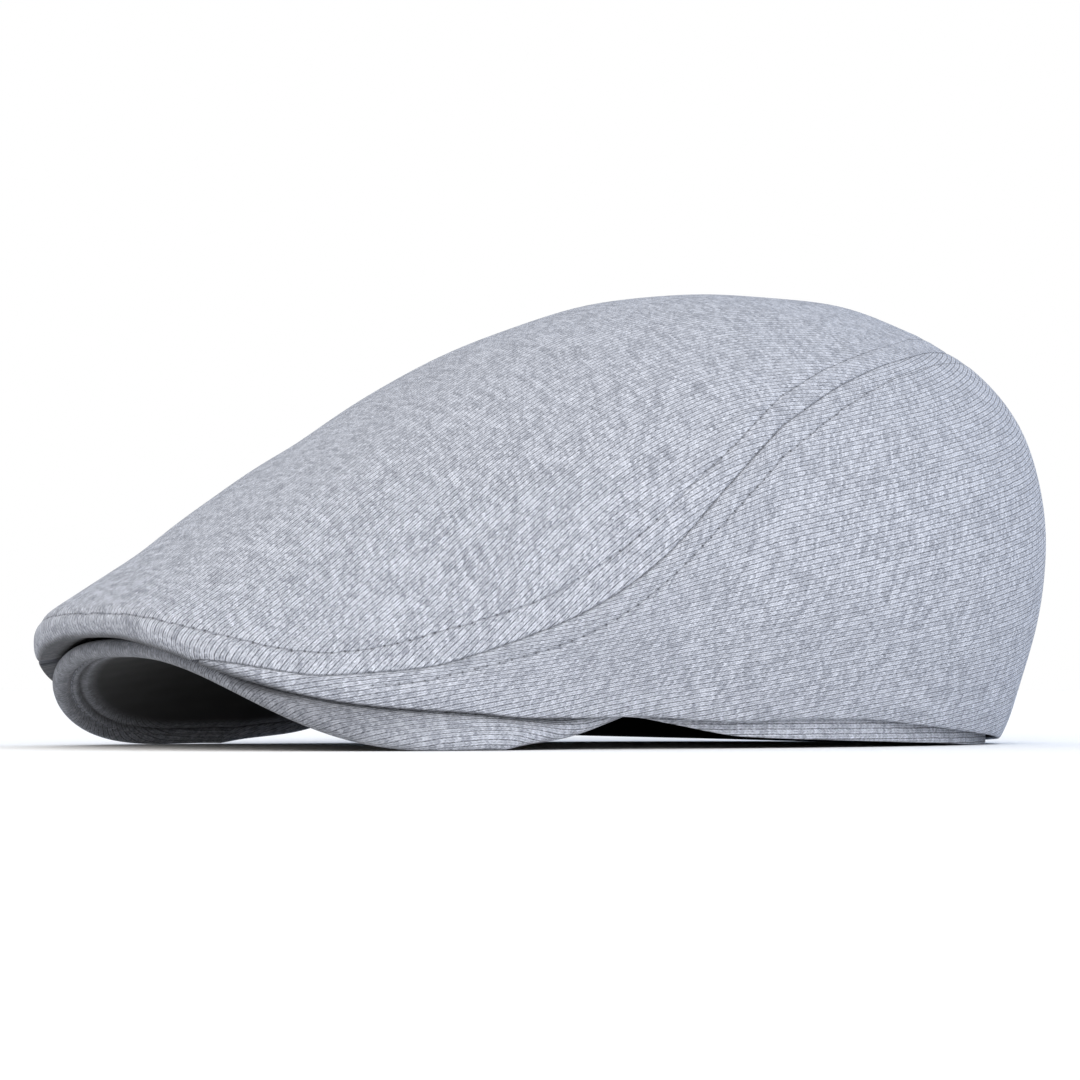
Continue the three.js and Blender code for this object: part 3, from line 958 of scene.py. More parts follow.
        # Needle holes along the row, half a stitch pitch each way from the thread's middle.
        # Painted shade darkens the needle holes, the groove along the row and the seam's gap.
        row = add("ShaderNodeAttribute", attribute_name="row").outputs["Vector"]
        run, from_row, from_seam = add("ShaderNodeSeparateXYZ", {0: row}).outputs
        beside = add(MATH, {0: run, 1: self.stitch_pitch / 2}, operation="PINGPONG")
        spot = add("ShaderNodeCombineXYZ", {"X": beside, "Y": from_row})
        from_hole = add("ShaderNodeVectorMath", {0: spot}, operation="LENGTH").outputs["Value"]
        from_row = add(MATH, {0: from_row}, operation="ABSOLUTE")
        hole_near, hole_far = (self.hole * share for share in self.hole_edge)
        hole, line, join = [
            add(RANGE, {"Value": distance, "From Min": near, "From Max": far, "To Min": dark, "To Max": 0.0},
                interpolation_type="SMOOTHSTEP")
            for distance, near, far, dark in (
                (from_hole, hole_near, hole_far, self.hole_dark),
                (from_row, 0.0, self.row_width, self.row_dark),
                (from_seam, *self.seam_width, self.seam_dark))]
        join = add(MATH, {0: join, 1: broken}, operation="MULTIPLY")
        stitched = add(MATH, {0: hole, 1: line}, operation="MAXIMUM")
        stitched = add(MATH, {0: stitched, 1: join}, operation="MAXIMUM")
        dim = add(MATH, {0: gap, 1: stitched}, operation="MAXIMUM")
        # Painted shade: the shade attribute draws the colour towards the inside colour.
        shade = add("ShaderNodeAttribute", attribute_name="shade").outputs["Fac"]
        colour = linear(self.dark)
        for share, over in ((tone, self.light), (dim, self.groove), (shade, self.inside)):
            layer = add("ShaderNodeMix", {"Factor": share, "A": colour, "B": linear(over)}, data_type="RGBA")
            colour = layer.outputs["Result"]

        height = add(MATH, {0: loop, 1: self.loop_relief, 2: 1 - self.loop_relief}, operation="MULTIPLY_ADD")
        height = add(MATH, {0: leg, 1: height}, operation="MULTIPLY")
        for part, share in ((deep, self.column_relief), (fibre, self.fibre_relief),
                            (stitched, self.sewn_relief)):
            height = add(MATH, {0: part, 1: share, 2: height}, operation="MULTIPLY_ADD")
        # The loops don't show where the cloth lies in deep shade.
        strength = add(
            MATH, {0: shade, 1: -self.relief_strength, 2: self.relief_strength}, operation="MULTIPLY_ADD")
        bump = add("ShaderNodeBump", {"Height": height, "Strength": strength, "Distance": self.relief})
        shader = add("ShaderNodeBsdfPrincipled", {
            "Base Color": colour, "Roughness": self.roughness, "Specular IOR Level": self.specular,
            "Sheen Weight": self.sheen, "Sheen Roughness": self.sheen_roughness, "Normal": bump})
        add("ShaderNodeOutputMaterial", {"Surface": shader})
        return made


@dataclass(frozen=True)
class SewingThread:
    """Spun polyester sewing thread of two twisted plies: a fine matt cord, a little darker than the cloth."""

    name: str = "sewing_thread"
    colour: str = "#A0A4B0"
    twist: str = "#787C86"
    ply: float = 0.35 * MM
    twist_scale: float = 0.05
    relief: float = 0.1 * MM
    relief_strength: float = 0.5
    roughness: float = 0.75
    specular: float = 0.3

    def material(self) -> bpy.types.Material:
        """Builds the thread's material, with its twist as slanting bands.

        Returns:
            The material.
        """
        made = bpy.data.materials.new(self.name)
        add = partial(add_node, empty_tree(made))
        place = add("ShaderNodeTexCoord").outputs["Object"]
        twist = add("ShaderNodeTexWave", {
            "Vector": place, "Scale": self.twist_scale / self.ply, "Distortion": 2.0, "Detail": 1.0},
            bands_direction="DIAGONAL").outputs["Fac"]
        colour = add("ShaderNodeMix", {
            "Factor": twist, "A": linear(self.twist), "B": linear(self.colour)}, data_type="RGBA")
        bump = add("ShaderNodeBump", {
            "Height": twist, "Strength": self.relief_strength, "Distance": self.relief})
        shader = add("ShaderNodeBsdfPrincipled", {
            "Base Color": colour.outputs["Result"], "Roughness": self.roughness,
            "Specular IOR Level": self.specular, "Normal": bump})
        add("ShaderNodeOutputMaterial", {"Surface": shader})
        return made


@dataclass
class StitchMaker:
    """Makes rows of thread stitches along lines, by Geometry Nodes."""

    thread: bpy.types.Material
    pitch: float = 3.3 * MM
    length: float = 2.5 * MM
    radius: float = 0.15 * MM
    rise: float = 0.26 * MM
    dive: float = 0.9
    bow: float = 1.6
    steps: int = 6
    stretch: tuple[float, float] = (0.93, 1.05)
    seed: int = 7
    tree: bpy.types.NodeTree = field(init=False)

    def __post_init__(self) -> None:
        """Builds the tree: one bent thread on each point of the row, along it and upright on the cloth."""
        tree = bpy.data.node_groups.new("stitch_row", "GeometryNodeTree")
        add = partial(add_node, tree)
        face = tree.interface
        face.new_socket("Row", in_out="INPUT", socket_type="NodeSocketGeometry")
        for label in ("Pitch", "Length", "Thread radius", "Rise"):
            face.new_socket(label, in_out="INPUT", socket_type="NodeSocketFloat")
        face.new_socket("Seed", in_out="INPUT", socket_type="NodeSocketInt")
        face.new_socket("Stitches", in_out="OUTPUT", socket_type="NodeSocketGeometry")
        given = add("NodeGroupInput").outputs
        half = add(MATH, {0: given["Length"], 1: 0.5}, operation="MULTIPLY")
        back = add(MATH, {0: half, 1: -1.0}, operation="MULTIPLY")
        dive = add(MATH, {0: given["Rise"], 1: -self.dive}, operation="MULTIPLY")
        top = add(MATH, {0: given["Rise"], 1: self.bow}, operation="MULTIPLY")
        bow = add("GeometryNodeCurveQuadraticBezier", {
            "Resolution": self.steps,
            "Start": add("ShaderNodeCombineXYZ", {"X": back, "Z": dive}),
            "Middle": add("ShaderNodeCombineXYZ", {"Z": top}),
            "End": add("ShaderNodeCombineXYZ", {"X": half, "Z": dive})})
        ring = add("GeometryNodeCurvePrimitiveCircle", {
            "Resolution": self.steps, "Radius": given["Thread radius"]})
        stitch = add("GeometryNodeCurveToMesh", {"Curve": bow, "Profile Curve": ring, "Fill Caps": True})
        path = add("GeometryNodeMeshToCurve", {"Mesh": given["Row"]})
        spaced = add("GeometryNodeResampleCurve", {"Curve": path, "Length": given["Pitch"]}, mode="LENGTH")
        up = add("GeometryNodeInputNamedAttribute", {"Name": "up"}, data_type="FLOAT_VECTOR")
        tangent = add("GeometryNodeInputTangent")
        stand = add("FunctionNodeAlignRotationToVector", {"Vector": tangent}, axis="X")
        turn = add("FunctionNodeAlignRotationToVector", {
            "Rotation": stand, "Vector": up}, axis="Z", pivot_axis="X")
        chance = add("FunctionNodeRandomValue", {
            "Seed": given["Seed"], 2: self.stretch[0], 3: self.stretch[1]}, data_type="FLOAT")
        scale = add("ShaderNodeCombineXYZ", {"X": chance.outputs[1], "Y": 1.0, "Z": 1.0})
        placed = add("GeometryNodeInstanceOnPoints", {
            "Points": spaced, "Instance": stitch, "Rotation": turn, "Scale": scale})
        real = add("GeometryNodeRealizeInstances", {0: placed})
        smooth = add("GeometryNodeSetShadeSmooth", {0: real})
        dressed = add("GeometryNodeSetMaterial", {"Geometry": smooth, "Material": self.thread})
        add("NodeGroupOutput", {0: dressed})
        self.tree = tree

    def sew(self, name: str, line: Line) -> bpy.types.Object:
        """Sews a row of stitches.

        Args:
            name: Name of the piece.
            line: The line that it follows, at the cloth's surface.

        Returns:
            The stitches as one plain mesh object.
        """
        # The stitches stand half a pitch on from the needle holes.
        start = np.searchsorted(line.run, self.pitch / 2)
        points, up = line.points[start:], line.up[start:]
        base = bpy.data.meshes.new(name + "_path")
        base.from_pydata(points.tolist(), [(i, i + 1) for i in range(len(points) - 1)], [])
        upright = base.attributes.new("up", "FLOAT_VECTOR", "POINT")
        upright.data.foreach_set("vector", up.astype(np.float32).ravel())
        guide = put(name + "_path", base)
        modifier = guide.modifiers.new("stitches", "NODES")
        modifier.node_group = self.tree
        values = {"Pitch": self.pitch, "Length": self.length, "Thread radius": self.radius,
                  "Rise": self.rise, "Seed": self.seed}
        for item in self.tree.interface.items_tree:
            if item.in_out == "INPUT" and item.name in values:
                modifier[item.identifier] = values[item.name]
        depsgraph = bpy.context.evaluated_depsgraph_get()
        mesh = bpy.data.meshes.new_from_object(guide.evaluated_get(depsgraph))
        mesh.name = name
        bpy.data.objects.remove(guide)
        return put(name, mesh)


@dataclass
class Crown:
    """The crown: a long top panel, two side panels, and the topstitches beside their seam."""

    form: CapForm
    cloth: bpy.types.Material
    stitches: StitchMaker
    side_start: float = 32
    side_row_turns: tuple[float, float] = (53, 179)
    seam_columns: int = 262
    front_columns: int = 78
    top_rows: int = 104
    top_ease: float = 1.45
    side_rows: int = 84
    side_ease: float = 1.25
    lining_rows: int = 24
    roll_width: float = 1.1 * MM
    roll_depth: float = 0.55 * MM
    seam_closed: float = 0.3
    swell: float = 0.32 * MM
    swell_from: tuple[float, float] = (0.5 * MM, 3 * MM)
    swell_width: float = 4.5 * MM
    groove_depth: float = 0.38 * MM
    groove_width: float = 1.1 * MM
    pucker: float = 0.10 * MM
    pucker_wave: float = 5.5 * MM
    pucker_width: float = 3.5 * MM
    pucker_seed: int = 3
    play: float = 0.22 * MM
    play_wave: float = 34 * MM
    play_from: float = 12 * MM
    play_seed: int = 5
    wale_slope: float = 10
    row_fade: float = 4 * MM
    pressed: float = 0.6
    pressed_turns: tuple[float, float] = (80, 122)
    hem_rest: float = 0.5 * MM
    # Painted shade: the inner face is dark, and a share paler where it is tucked in under the front.
    tuck_pale: float = 0.2
    # Painted shade where the front roll turns in, and in the crease where the hem lies on the peak.
    edge_dark: float = 0.34
    hem_crease: HemCrease = HemCrease(0.85, 3.2 * MM, 1.1 * MM)
    draw_in: float = 1.4
    draw_in_from: float = -45 * MM

    def __post_init__(self) -> None:
        """Lays the seam and the stitch rows on the crown."""
        form = self.form
        sink = self.groove_depth * THREAD_SINK
        start, end = self.side_row_turns
        self.top_row = panel_line(form, TOP_ROW, -180, 180, sink)
        self.side_row_lines = {
            side: panel_line(form, SIDE_ROW, side.value * start, side.value * end, sink)
            for side in Side}
        self.seam_lines = {
            side: panel_line(form, PANEL_SEAM, side.value * self.side_start, side.value * 180)
            for side in Side}
        self.hem = hem_line(form)

    def sewn(self, angle: Array) -> Array:
        """How strongly the seam and rows stand out: they are pressed flat towards the back."""
        return 1 - self.pressed * smooth_step(np.degrees(np.abs(angle)), *self.pressed_turns)

    def relief(self, points: Array, from_seam: Array, from_row: Array, sewn: Array) -> Array:
        """How far the cloth stands out or sinks beside the seam and the stitches.

        Args:
            points: Points of the plain surface.
            from_seam: Their distance from the seam or border.
            from_row: Their distance from the stitch row.
            sewn: How strongly the sewing stands out there.

        Returns:
            The height along the outward normal.
        """
        roll = -self.roll_depth * rounding(from_seam, self.roll_width)
        groove = -self.groove_depth * bell(from_row, self.groove_width)
        band = smooth_step(from_seam, *self.swell_from) * bell(from_row, self.swell_width)
        pulled = soft_waves(points, self.pucker_wave, self.pucker_seed) * bell(from_row, self.pucker_width)
        free = smooth_step(from_seam, 0, self.play_from)
        waves = self.play * free * soft_waves(points, self.play_wave, self.play_seed)
        return sewn * (roll + groove + self.swell * band + self.pucker * pulled) + waves

    def side_turns(self) -> Array:
        """Angles of the columns beside the seam, from its front end to the centre back."""
        return np.linspace(math.radians(self.side_start), math.pi, self.seam_columns + 1)

    def border(self, turns: Array, step: float) -> Array:
        """Rings of a border that runs a step above or below the seam."""
        seam = self.form.seam(np.degrees(np.abs(turns)))
        return np.maximum(self.form.up_crown(turns, seam, step), 0)

    def top_panel(self) -> bpy.types.Object:
        """Builds the top panel, from the seam or the front edge up over the apex.

        Returns:
            The panel.
        """
        form = self.form
        left = self.side_turns()[:-1]
        front = np.linspace(-left[0], left[0], self.front_columns + 1)
        right = left[1:][::-1]
        turns = np.concatenate([[-math.pi], -right, front, left[1:]])
        low = self.border(turns, self.seam_closed * form.sizes.seam_gap / 2)

        def face(rows: int, ease: float) -> tuple[Array, Array]:
            """Rings of one face's rows, closer beside the seam, and its angles.

            Args:
                rows: How many rows it has.
                ease: Power that draws the rows to the seam.

            Returns:
                The angle and the ring of each point.
            """
            share = (np.arange(rows) / rows) ** ease
            ring = blend(low[:, None], APEX_RING, share[None, :])
            return np.broadcast_to(turns[:, None], ring.shape), ring

        angle, ring = face(self.top_rows, self.top_ease)
        plain = form.crown(angle, ring)
        normal = form.crown_normal(angle, ring)
        from_seam = np.min([np.abs(line.measure(plain)[1]) for line in self.seam_lines.values()], axis=0)
        run, from_row = self.top_row.measure(plain)
        sewn = self.sewn(angle)
        points = plain + normal * self.relief(plain, from_seam, from_row, sewn)[..., None]
        # The row's two ends meet at the centre back, where its run jumps, so it fades out for one column.
        from_row[0] += np.sign(from_row[0]) * self.row_fade
        # Painted shade where the front roll turns in and in the crease above the peak.
        shade = np.maximum(self.edge_shade(angle, ring), self.hem_crease.shade(self.hem, plain))
        outer = Skin.of(points, self.top_weave(angle, ring),
                        np.stack([run, from_row / sewn, from_seam / sewn], -1), shade)
        angle, ring = face(self.lining_rows, 1.0)
        weave = self.top_weave(angle, ring)
        weave[..., 1] -= form.front_tuck(angle, ring)
        inner = Skin.of(form.crown_inside(angle, ring), weave, shade=self.painted_inner_shade(angle, ring))
        return closed_sheet("top_panel_cloth", outer, inner, around=True, poles=True)

    def painted_inner_shade(self, angle: Array, ring: Array) -> Array:
        """Painted shade of the inner face: dark, but a little paler where the cloth is tucked in under the
        front.
        """
        return 1 - self.tuck_pale * self.form.front_tuck(angle, ring) / self.form.sizes.front_tuck

    def edge_shade(self, angle: Array, ring: Array) -> Array:
        """Shade of the front roll's lowest part, which turns in out of the light."""
        return self.edge_dark * self.form.front_tuck(angle, ring) / self.form.sizes.front_tuck

    def top_weave(self, angle: Array, ring: Array) -> Array:
        """Cloth coordinates of the top panel, whose columns of loops run from front to back.

        Each slice across the dome is rolled out from the centre line, and the centre line from front to
        back, and the columns draw together towards the rear. Below the foremost ring the cloth goes on
        straight down round the front roll.

        Args:
            angle: Angles of the points.
            ring: Rings of the points.

        Returns:
            How far each point lies across the columns of loops, and how far along them.
        """
        form = self.form
        rings = np.linspace(0, APEX_RING, CURVE_POINTS)
        middle = np.concatenate([form.crown(0.0, rings), form.crown(math.pi, rings)[-2::-1]])
        foremost, rearmost = int(np.argmin(middle[:, 1])), int(np.argmax(middle[:, 1]))
        run = run_along(middle)
        kept = slice(foremost, rearmost)
        held = form.crown(angle, np.maximum(ring, rings[foremost]))
        below = np.linalg.norm(form.crown(angle, ring) - held, axis=-1)
        x, y, z = np.moveaxis(held, -1, 0)
        drop = np.maximum(np.interp(y, middle[kept, 1], middle[kept, 2]) - z, 0)
        # The length of a shallow arc, from its half width and its rise.
        arc = np.sqrt(x**2 + 4 / 3 * drop**2)
        across = np.sign(x) * arc * (1 + self.draw_in * (y - self.draw_in_from))
        return np.stack([across, np.interp(y, middle[kept, 1], run[kept]) - below], -1)

    def side_panel(self, side: Side) -> bpy.types.Object:
        """Builds one side panel, from its front point, under the seam, to the centre back.

        Args:
            side: Which side.

        Returns:
            The panel.
        """
        form = self.form
        middle = APEX_RING / 2
        end = math.pi - form.sizes.seam_gap / float(form.back(middle) - form.waist(middle))
        turns = side.value * np.minimum(self.side_turns(), end)
        if side is Side.RIGHT:
            turns = turns[::-1]
        high = self.border(turns, -self.seam_closed * form.sizes.seam_gap / 2)
        share = 1 - (1 - np.linspace(0, 1, self.side_rows + 1)) ** self.side_ease
        ring = high[:, None] * share[None, :]
        angle = np.broadcast_to(turns[:, None], ring.shape)
        plain = form.crown(angle, ring)
        normal = form.crown_normal(angle, ring)
        from_seam = np.abs(self.seam_lines[side].measure(plain)[1])
        from_hem = run_along(plain, 1)
        back = -1 if side is Side.LEFT else 0
        from_back = np.abs(Line(plain[back], normal[back]).measure(plain)[1])
        run, from_row = self.side_row_lines[side].measure(plain)
        # Where the hem lies on the peak, it keeps its edge.
        resting = self.hem_rest * (1 - smooth_step(np.degrees(np.abs(angle)), *form.sizes.peak_hold))
        border = np.minimum(np.minimum(from_seam, from_hem + resting), from_back)
        sewn = self.sewn(angle)
        points = plain + normal * self.relief(plain, border, from_row, sewn)[..., None]
        level = side.value * run_along(plain).mean(1, keepdims=True)
        across = plain[:, :1, 2] + from_hem - math.tan(math.radians(self.wale_slope)) * level
        weave = np.stack([across, np.broadcast_to(level, across.shape)], -1)
        # Painted shade in the crease where the hem lies on the peak.
        outer = Skin.of(points, weave, np.stack([run, from_row / sewn, from_seam / sewn], -1),
                        self.hem_crease.shade(self.hem, plain))
        inner = Skin.of(form.crown_inside(angle, ring), weave, shade=self.painted_inner_shade(angle, ring))
        return closed_sheet("side_panel_%s_cloth" % side.name.lower(), outer, inner)

    def build(self) -> list[tuple[bpy.types.Object, Optional[str]]]:
        """Builds the crown's pieces, each with the node that it stands for.

        Returns:
            Each piece, and the node that it stands for or None.
        """
        top = self.top_panel()
        top.data.materials.append(self.cloth)
        pieces = [(top, "top_panel"), (self.stitches.sew("topstitch_top_panel", self.top_row), None)]
        for side in Side:
            label = side.name.lower()
            panel = self.side_panel(side)
            panel.data.materials.append(self.cloth)
            pieces.append((panel, "side_panel_" + label))
            pieces.append((self.stitches.sew("topstitch_side_" + label, self.side_row_lines[side]), None))
        return pieces


@dataclass
class Peak:
    """The covered peak: an arched sheet with a rounded rim and a row of stitches beneath."""

    form: CapForm
    cloth: bpy.types.Material
    stitches: StitchMaker
    stations: int = 300
    rows: int = 44
    row_ease: float = 1.5
    rim_steps: int = 7
    rim_end: float = 0.12
    root_share: float = 0.6
    arch_margin: float = 1.05
    stitched_share: float = 0.93
    row_points: int = 1400
    row_inset: float = 2.2 * MM
    crease_step: float = 2.7 * MM
    groove_depth: float = 0.6 * MM
    groove_width: float = 0.65 * MM
    crease_depth: float = 0.9 * MM
    # Painted shade in the lower face's crease.
    crease_dark: float = 0.3
    crease_width: float = 1.1 * MM
    pucker: float = 0.08 * MM
    pucker_wave: float = 7 * MM
    pucker_seed: int = 11
    # Painted shade deepening inward beneath the peak.
    shade_from: float = 1.5 * MM
    shade_to: float = 10.5 * MM
    # Painted shade at the peak's front, on both faces.
    front_dark: float = 0.52
    front_hold: tuple[float, float] = (0.36, 0.7)
    # Painted shade on the lower face, away from the tip.
    under_dark: float = 0.6
    under_hold: tuple[float, float] = (0.08, 0.45)
    hem_crease: HemCrease = HemCrease(0.92, 7.0 * MM, 1.8 * MM)

    def face(self, side: int) -> tuple[Array, Array, Array]:
        """Builds one face of the peak, from its root to the rim's middle.

        Args:
            side: 1 for the upper face, -1 for the lower one.

        Returns:
            Its points, their distance in from the rim, and their cloth coordinates.
        """
        form = self.form
        half = form.sizes.peak_thickness / 2
        station = np.linspace(-1, 1, self.stations + 1)
        rim, root = form.peak_rim(station), form.peak_root(station)
        share = 1 - (1 - np.linspace(0, 1, self.rows + 1)) ** self.row_ease
        plan = root[:, None] + (rim - root)[:, None] * share[None, :, None]
        x, y = plan[..., 0], plan[..., 1]
        middle = np.concatenate([plan, form.peak_middle(x, y)[..., None]], -1)
        normal = form.peak_normal(x, y)
        upright = np.zeros_like(normal)
        upright[..., 2] = 1 / normal[..., 2]
        lean = smooth_step(share, 0, self.root_share)[None, :, None]
        flat = middle + side * half * blend(upright, normal, lean)
        inset = np.linalg.norm(middle - middle[:, -1:], axis=-1)
        if side < 0:
            flat = flat + self.lower_relief(flat, inset)[..., None] * -normal
        step = 0.01
        along = form.peak_rim(np.minimum(station + step, 1)) - form.peak_rim(np.maximum(station - step, -1))
        edge_normal = normal[:, -1]
        outward = np.stack([along[:, 1], -along[:, 0], np.zeros(len(station))], -1)
        outward = unit(outward - edge_normal * np.sum(outward * edge_normal, -1, keepdims=True))
        turn = np.linspace(math.pi / 2, self.rim_end, self.rim_steps + 1)[1:]
        round_way = outward[:, None] * np.cos(turn)[None, :, None]
        up_way = edge_normal[:, None] * (side * np.sin(turn))[None, :, None]
        roll = middle[:, -1:] + half * (round_way + up_way)
        points = np.concatenate([flat, roll], 1)
        laid = self.roll_out(plan)
        sideways = np.sign(rim[:, 0]) * np.hypot(outward[:, 0], outward[:, 2])
        way = np.stack([sideways, outward[:, 1]], -1)[:, None]
        round_rim = half * (math.pi / 2 - side * turn)[None, :, None]
        if side < 0:
            laid = laid[:, -1:] + way * (math.pi * half + inset[..., None])
        weave = np.concatenate([laid, self.roll_out(rim)[:, None] + way * round_rim], 1)
        return points, np.concatenate([inset, np.zeros(roll.shape[:-1])], 1), weave

    def shade(self, side: int, points: Array, inset: Array) -> Array:
        """Painted shade of one face: at the front, in the crease under the crown, and deeper beneath the
        peak.

        Args:
            side: 1 for the upper face, -1 for the lower one.
            points: Its points.
            inset: Their distance in from the rim.

        Returns:
            The shade at each point.
        """
        station = np.abs(np.linspace(-1, 1, self.stations + 1))[:, None]
        # Painted shade at the front of the peak, on both faces, where it faces away from the light.
        shade = self.front_dark * (1 - smooth_step(station, *self.front_hold)) * np.ones_like(inset)
        if side > 0:
            return np.maximum(shade, self.hem_crease.shade(hem_line(self.form), points))
        # Painted shade on the lower face, darker away from the tip, fading out round the rim's roll.
        low = np.ones(inset.shape[1])
        low[self.rows + 1 :] = np.linspace(1, 0, self.rim_steps + 1)[1:]
        shade = np.maximum(shade, self.under_dark * smooth_step(station, *self.under_hold) * low[None, :])
        # Painted shade deepening inward beneath the peak, and in the crease behind the stitch row.
        shade = np.maximum(shade, smooth_step(inset, self.shade_from, self.shade_to))
        from_crease = inset - self.row_inset - self.crease_step
        return np.minimum(shade + crease(from_crease, self.crease_dark, self.crease_width), 1)

    def roll_out(self, plan: Array) -> Array:
        """Cloth coordinates over the arch: x is measured along the arch, y stays.

        Args:
            plan: Places of the points, across and along the cap.

        Returns:
            How far each point lies across the columns of loops, and how far along them.
        """
        form = self.form
        x = np.linspace(0, form.peak_half_width * self.arch_margin, CURVE_POINTS)
        height = form.peak_middle(x, np.full_like(x, form.peak_waist))
        run = run_along(np.stack([x, height], -1))
        across = np.sign(plan[..., 0]) * np.interp(np.abs(plan[..., 0]), x, run)
        return np.stack([across, plan[..., 1]], -1)

    def lower_relief(self, points: Array, inset: Array) -> Array:
        """Relief of the lower face: a sewn groove and a crease along the rim, and slight waves.

        Args:
            points: Its points.
            inset: Their distance in from the rim.

        Returns:
            How far the cloth stands out at each point.
        """
        from_row = inset - self.row_inset
        sunk = self.groove_depth * bell(from_row, self.groove_width)
        sunk = sunk + self.crease_depth * bell(from_row - self.crease_step, self.groove_width)
        return self.pucker * soft_waves(points, self.pucker_wave, self.pucker_seed) - sunk

    def rim_row(self) -> Line:
        """The line of the stitches along the lower face's rim.

        Returns:
            The line, from one rear end to the other.
        """
        form = self.form
        station = np.linspace(-self.stitched_share, self.stitched_share, self.row_points)
        rim, root = form.peak_rim(station), form.peak_root(station)
        span = np.linalg.norm(rim - root, axis=-1, keepdims=True)
        plan = rim + (root - rim) * (self.row_inset / span)
        x, y = plan[:, 0], plan[:, 1]
        normal = form.peak_normal(x, y)
        middle = np.concatenate([plan, form.peak_middle(x, y)[:, None]], -1)
        depth = form.sizes.peak_thickness / 2 - self.groove_depth * THREAD_SINK
        return Line(middle - normal * depth, -normal)

    def build(self) -> list[tuple[bpy.types.Object, Optional[str]]]:
        """Builds the peak and its stitches.

        Returns:
            Each piece, and the node that it stands for or None.
        """
        row = self.rim_row()
        skins = []
        for side in (-1, 1):
            points, inset, weave = self.face(side)
            run, from_row = row.measure(points)
            skins.append(Skin.of(points, weave, np.stack([run, from_row, np.ones_like(run)], -1),
                                 self.shade(side, points, inset)))
        piece = closed_sheet("peak_cloth", skins[0], skins[1])
        piece.data.materials.append(self.cloth)
        return [(piece, "peak"), (self.stitches.sew("topstitch_peak", row), None)]


@dataclass
class Sweatband:
    """The sweatband: a standing ring of cloth with a folded lower edge."""

    form: CapForm
    cloth: bpy.types.Material
    columns: int = 420
    rows: int = 26
    row_ease: float = 1.3
    fold: float = 0.8 * MM
    fold_depth: float = 0.6
    shade_range: tuple[float, float] = (5 * MM, 9 * MM)

    def build(self) -> list[tuple[bpy.types.Object, Optional[str]]]:
        """Builds the sweatband.

        Returns:
            Each piece, and the node that it stands for or None.
        """
        form = self.form
        angle = np.arange(self.columns) / self.columns * 2 * np.pi - np.pi
        from_edge = np.linspace(0, 1, self.rows + 1) ** self.row_ease * form.sizes.band_height
        height = form.band_lift(angle)[:, None] + from_edge[None, :]
        outer_plan, inner_plan = form.band_plan(angle), form.band_plan(angle, -form.sizes.band_thickness)
        inward = unit(inner_plan - outer_plan)
        tuck = self.fold * self.fold_depth * rounding(from_edge, self.fold)
        run = np.broadcast_to(run_along(outer_plan)[:, None], height.shape)
        weave = np.stack([height, run], -1)

        def face(plan: Array, way: float, shade: Array) -> Skin:
            """One face of the ring, drawn in at the folded edge."""
            drawn = plan[:, None] + way * inward[:, None] * tuck[None, :, None]
            return Skin.of(np.concatenate([drawn, height[..., None]], -1), weave, shade=shade)

        # Painted shade: the outer face darkens from a little above its lower edge, up under the crown, and
        # the inner face is dark all over.
        dark = smooth_step(from_edge, *self.shade_range)
        outer = face(outer_plan, 1.0, np.broadcast_to(dark[None, :], height.shape))
        inner = face(inner_plan, -1.0, np.ones(height.shape))
        piece = closed_sheet("sweatband_cloth", outer, inner, around=True)
        piece.data.materials.append(self.cloth)
        return [(piece, "sweatband")]


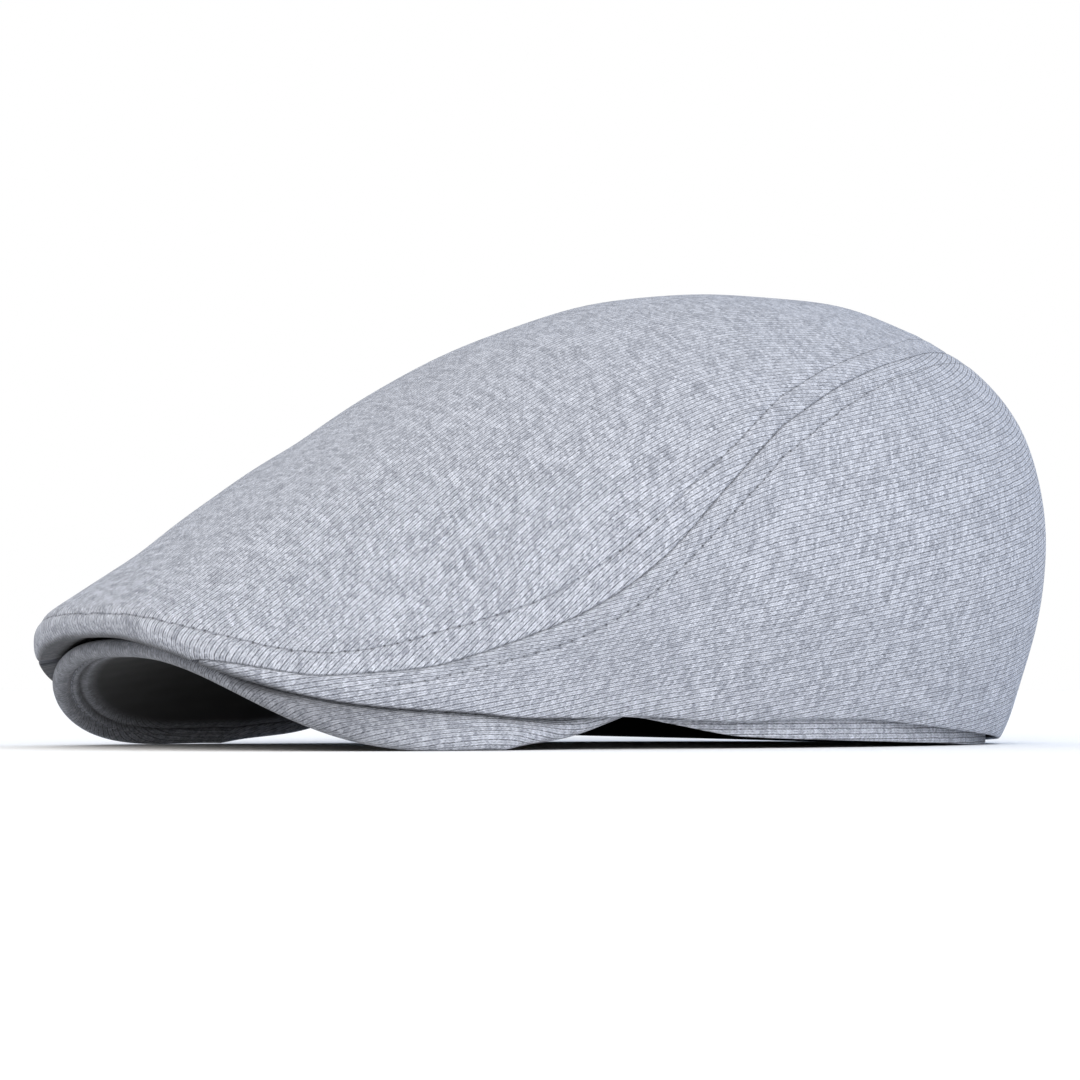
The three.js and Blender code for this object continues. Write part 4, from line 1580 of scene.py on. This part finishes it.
@dataclass(frozen=True)
class Studio:
    """A pale floor under soft light, and a camera close above the floor."""

    floor: str = "#FBFBFB"
    floor_radius: float = 6.0
    floor_corners: int = 96
    floor_roughness: float = 0.9
    floor_specular: float = 0.1
    sky: float = 1.36
    dim: float = 0.24
    cool: tuple[float, float, float, float] = (0.24, 0.38, 0.62, 1.0)
    neutral: tuple[float, float, float, float] = (1.0, 1.0, 1.0, 1.0)
    warm: tuple[float, float, float, float] = (1.0, 0.90, 0.76, 1.0)
    front_way: tuple[float, float, float] = (0.35, -0.94, 0.0)
    dim_range: tuple[float, float] = (-0.1, 0.8)
    cool_range: tuple[float, float] = (-0.9, -0.1)
    warm_range: tuple[float, float] = (0.2, 0.7)
    key: float = 2.26
    key_angle: float = 50
    key_from: tuple[float, float, float] = (0.80, -0.52, 0.38)
    azimuth: float = 60
    distance: float = 1.4
    eye: float = 18 * MM
    lens: float = 175.3
    sensor: float = 36
    clip: tuple[float, float] = (0.05, 60)
    shift: tuple[float, float] = (-0.00185, 0.1277)
    aim_y: float = -6.6 * MM

    def lay_floor(self) -> None:
        """Lays the floor as a wide disc."""
        turns = np.linspace(0, 2 * np.pi, self.floor_corners, endpoint=False)
        mesh = bpy.data.meshes.new("floor")
        points = [(self.floor_radius * math.cos(t), self.floor_radius * math.sin(t), 0.0) for t in turns]
        mesh.from_pydata(points, [], [list(range(len(points)))])
        floor = put("floor", mesh)
        paint = bpy.data.materials.new("floor_paint")
        paint.use_nodes = True
        shader = paint.node_tree.nodes["Principled BSDF"]
        shader.inputs["Base Color"].default_value = linear(self.floor)
        shader.inputs["Roughness"].default_value = self.floor_roughness
        shader.inputs["Specular IOR Level"].default_value = self.floor_specular
        mesh.materials.append(paint)

    def light(self) -> None:
        """Lights the set: a pale room, dim and warm in front and cool behind, and a wide key light.

        The room itself is seen as plain white.
        """
        world = bpy.data.worlds.new("studio")
        bpy.context.scene.world = world
        add = partial(add_node, empty_tree(world))
        way = add("ShaderNodeTexCoord").outputs["Generated"]
        ahead = add("ShaderNodeVectorMath", {0: way, 1: self.front_way}, operation="DOT_PRODUCT")
        ahead = ahead.outputs["Value"]
        strength = add(RANGE, {
            "Value": ahead, "From Min": self.dim_range[0], "From Max": self.dim_range[1],
            "To Min": self.sky, "To Max": self.dim}, interpolation_type="SMOOTHSTEP")
        tint = self.cool
        for (near, far), over in ((self.cool_range, self.neutral), (self.warm_range, self.warm)):
            share = add(RANGE, {
                "Value": ahead, "From Min": near, "From Max": far}, interpolation_type="SMOOTHSTEP")
            layer = add("ShaderNodeMix", {"Factor": share, "A": tint, "B": over}, data_type="RGBA")
            tint = layer.outputs["Result"]
        seen = add("ShaderNodeLightPath").outputs["Is Camera Ray"]
        colour = add("ShaderNodeMix", {"Factor": seen, "A": tint, "B": self.neutral}, data_type="RGBA")
        level = add("ShaderNodeMix", {"Factor": seen, "A": strength, "B": 1.0})
        back = add("ShaderNodeBackground", {"Color": colour.outputs["Result"], "Strength": level})
        add("ShaderNodeOutputWorld", {"Surface": back})
        lamp = bpy.data.lights.new("key", "SUN")
        lamp.energy = self.key
        lamp.angle = math.radians(self.key_angle)
        key = put("key", lamp)
        key.rotation_euler = Vector(self.key_from).to_track_quat("Z", "Y").to_euler()

    def place_camera(self) -> None:
        """Places the camera."""
        lens = bpy.data.cameras.new("camera")
        lens.lens = self.lens
        lens.sensor_width = self.sensor
        lens.shift_x, lens.shift_y = self.shift
        lens.clip_start, lens.clip_end = self.clip
        camera = put("camera", lens)
        turn = math.radians(self.azimuth)
        camera.location = (
            self.distance * math.sin(turn), self.aim_y - self.distance * math.cos(turn), self.eye)
        camera.rotation_euler = (math.pi / 2, 0, turn)
        bpy.context.scene.camera = camera

    def build(self) -> None:
        """Sets up the camera, the light and the floor."""
        self.place_camera()
        self.light()
        self.lay_floor()
        bpy.context.scene.view_settings.view_transform = "Standard"


def main() -> None:
    """Builds the cap's pieces in order, ties them to the frame and sets up the studio."""
    logging.basicConfig(level=logging.INFO, format="%(name)s: %(message)s")
    form = CapForm(CapSizes())
    cloth = HeatherJersey().material()
    stitches = StitchMaker(SewingThread().material())
    Studio().build()
    for part in (Crown(form, cloth, stitches), Peak(form, cloth, stitches), Sweatband(form, cloth)):
        for piece, node in part.build():
            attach(piece, "root")
            if node:
                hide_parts(node)
            log.info("%s: %d faces", piece.name, len(piece.data.polygons))


if __name__ == "__main__":
    main()
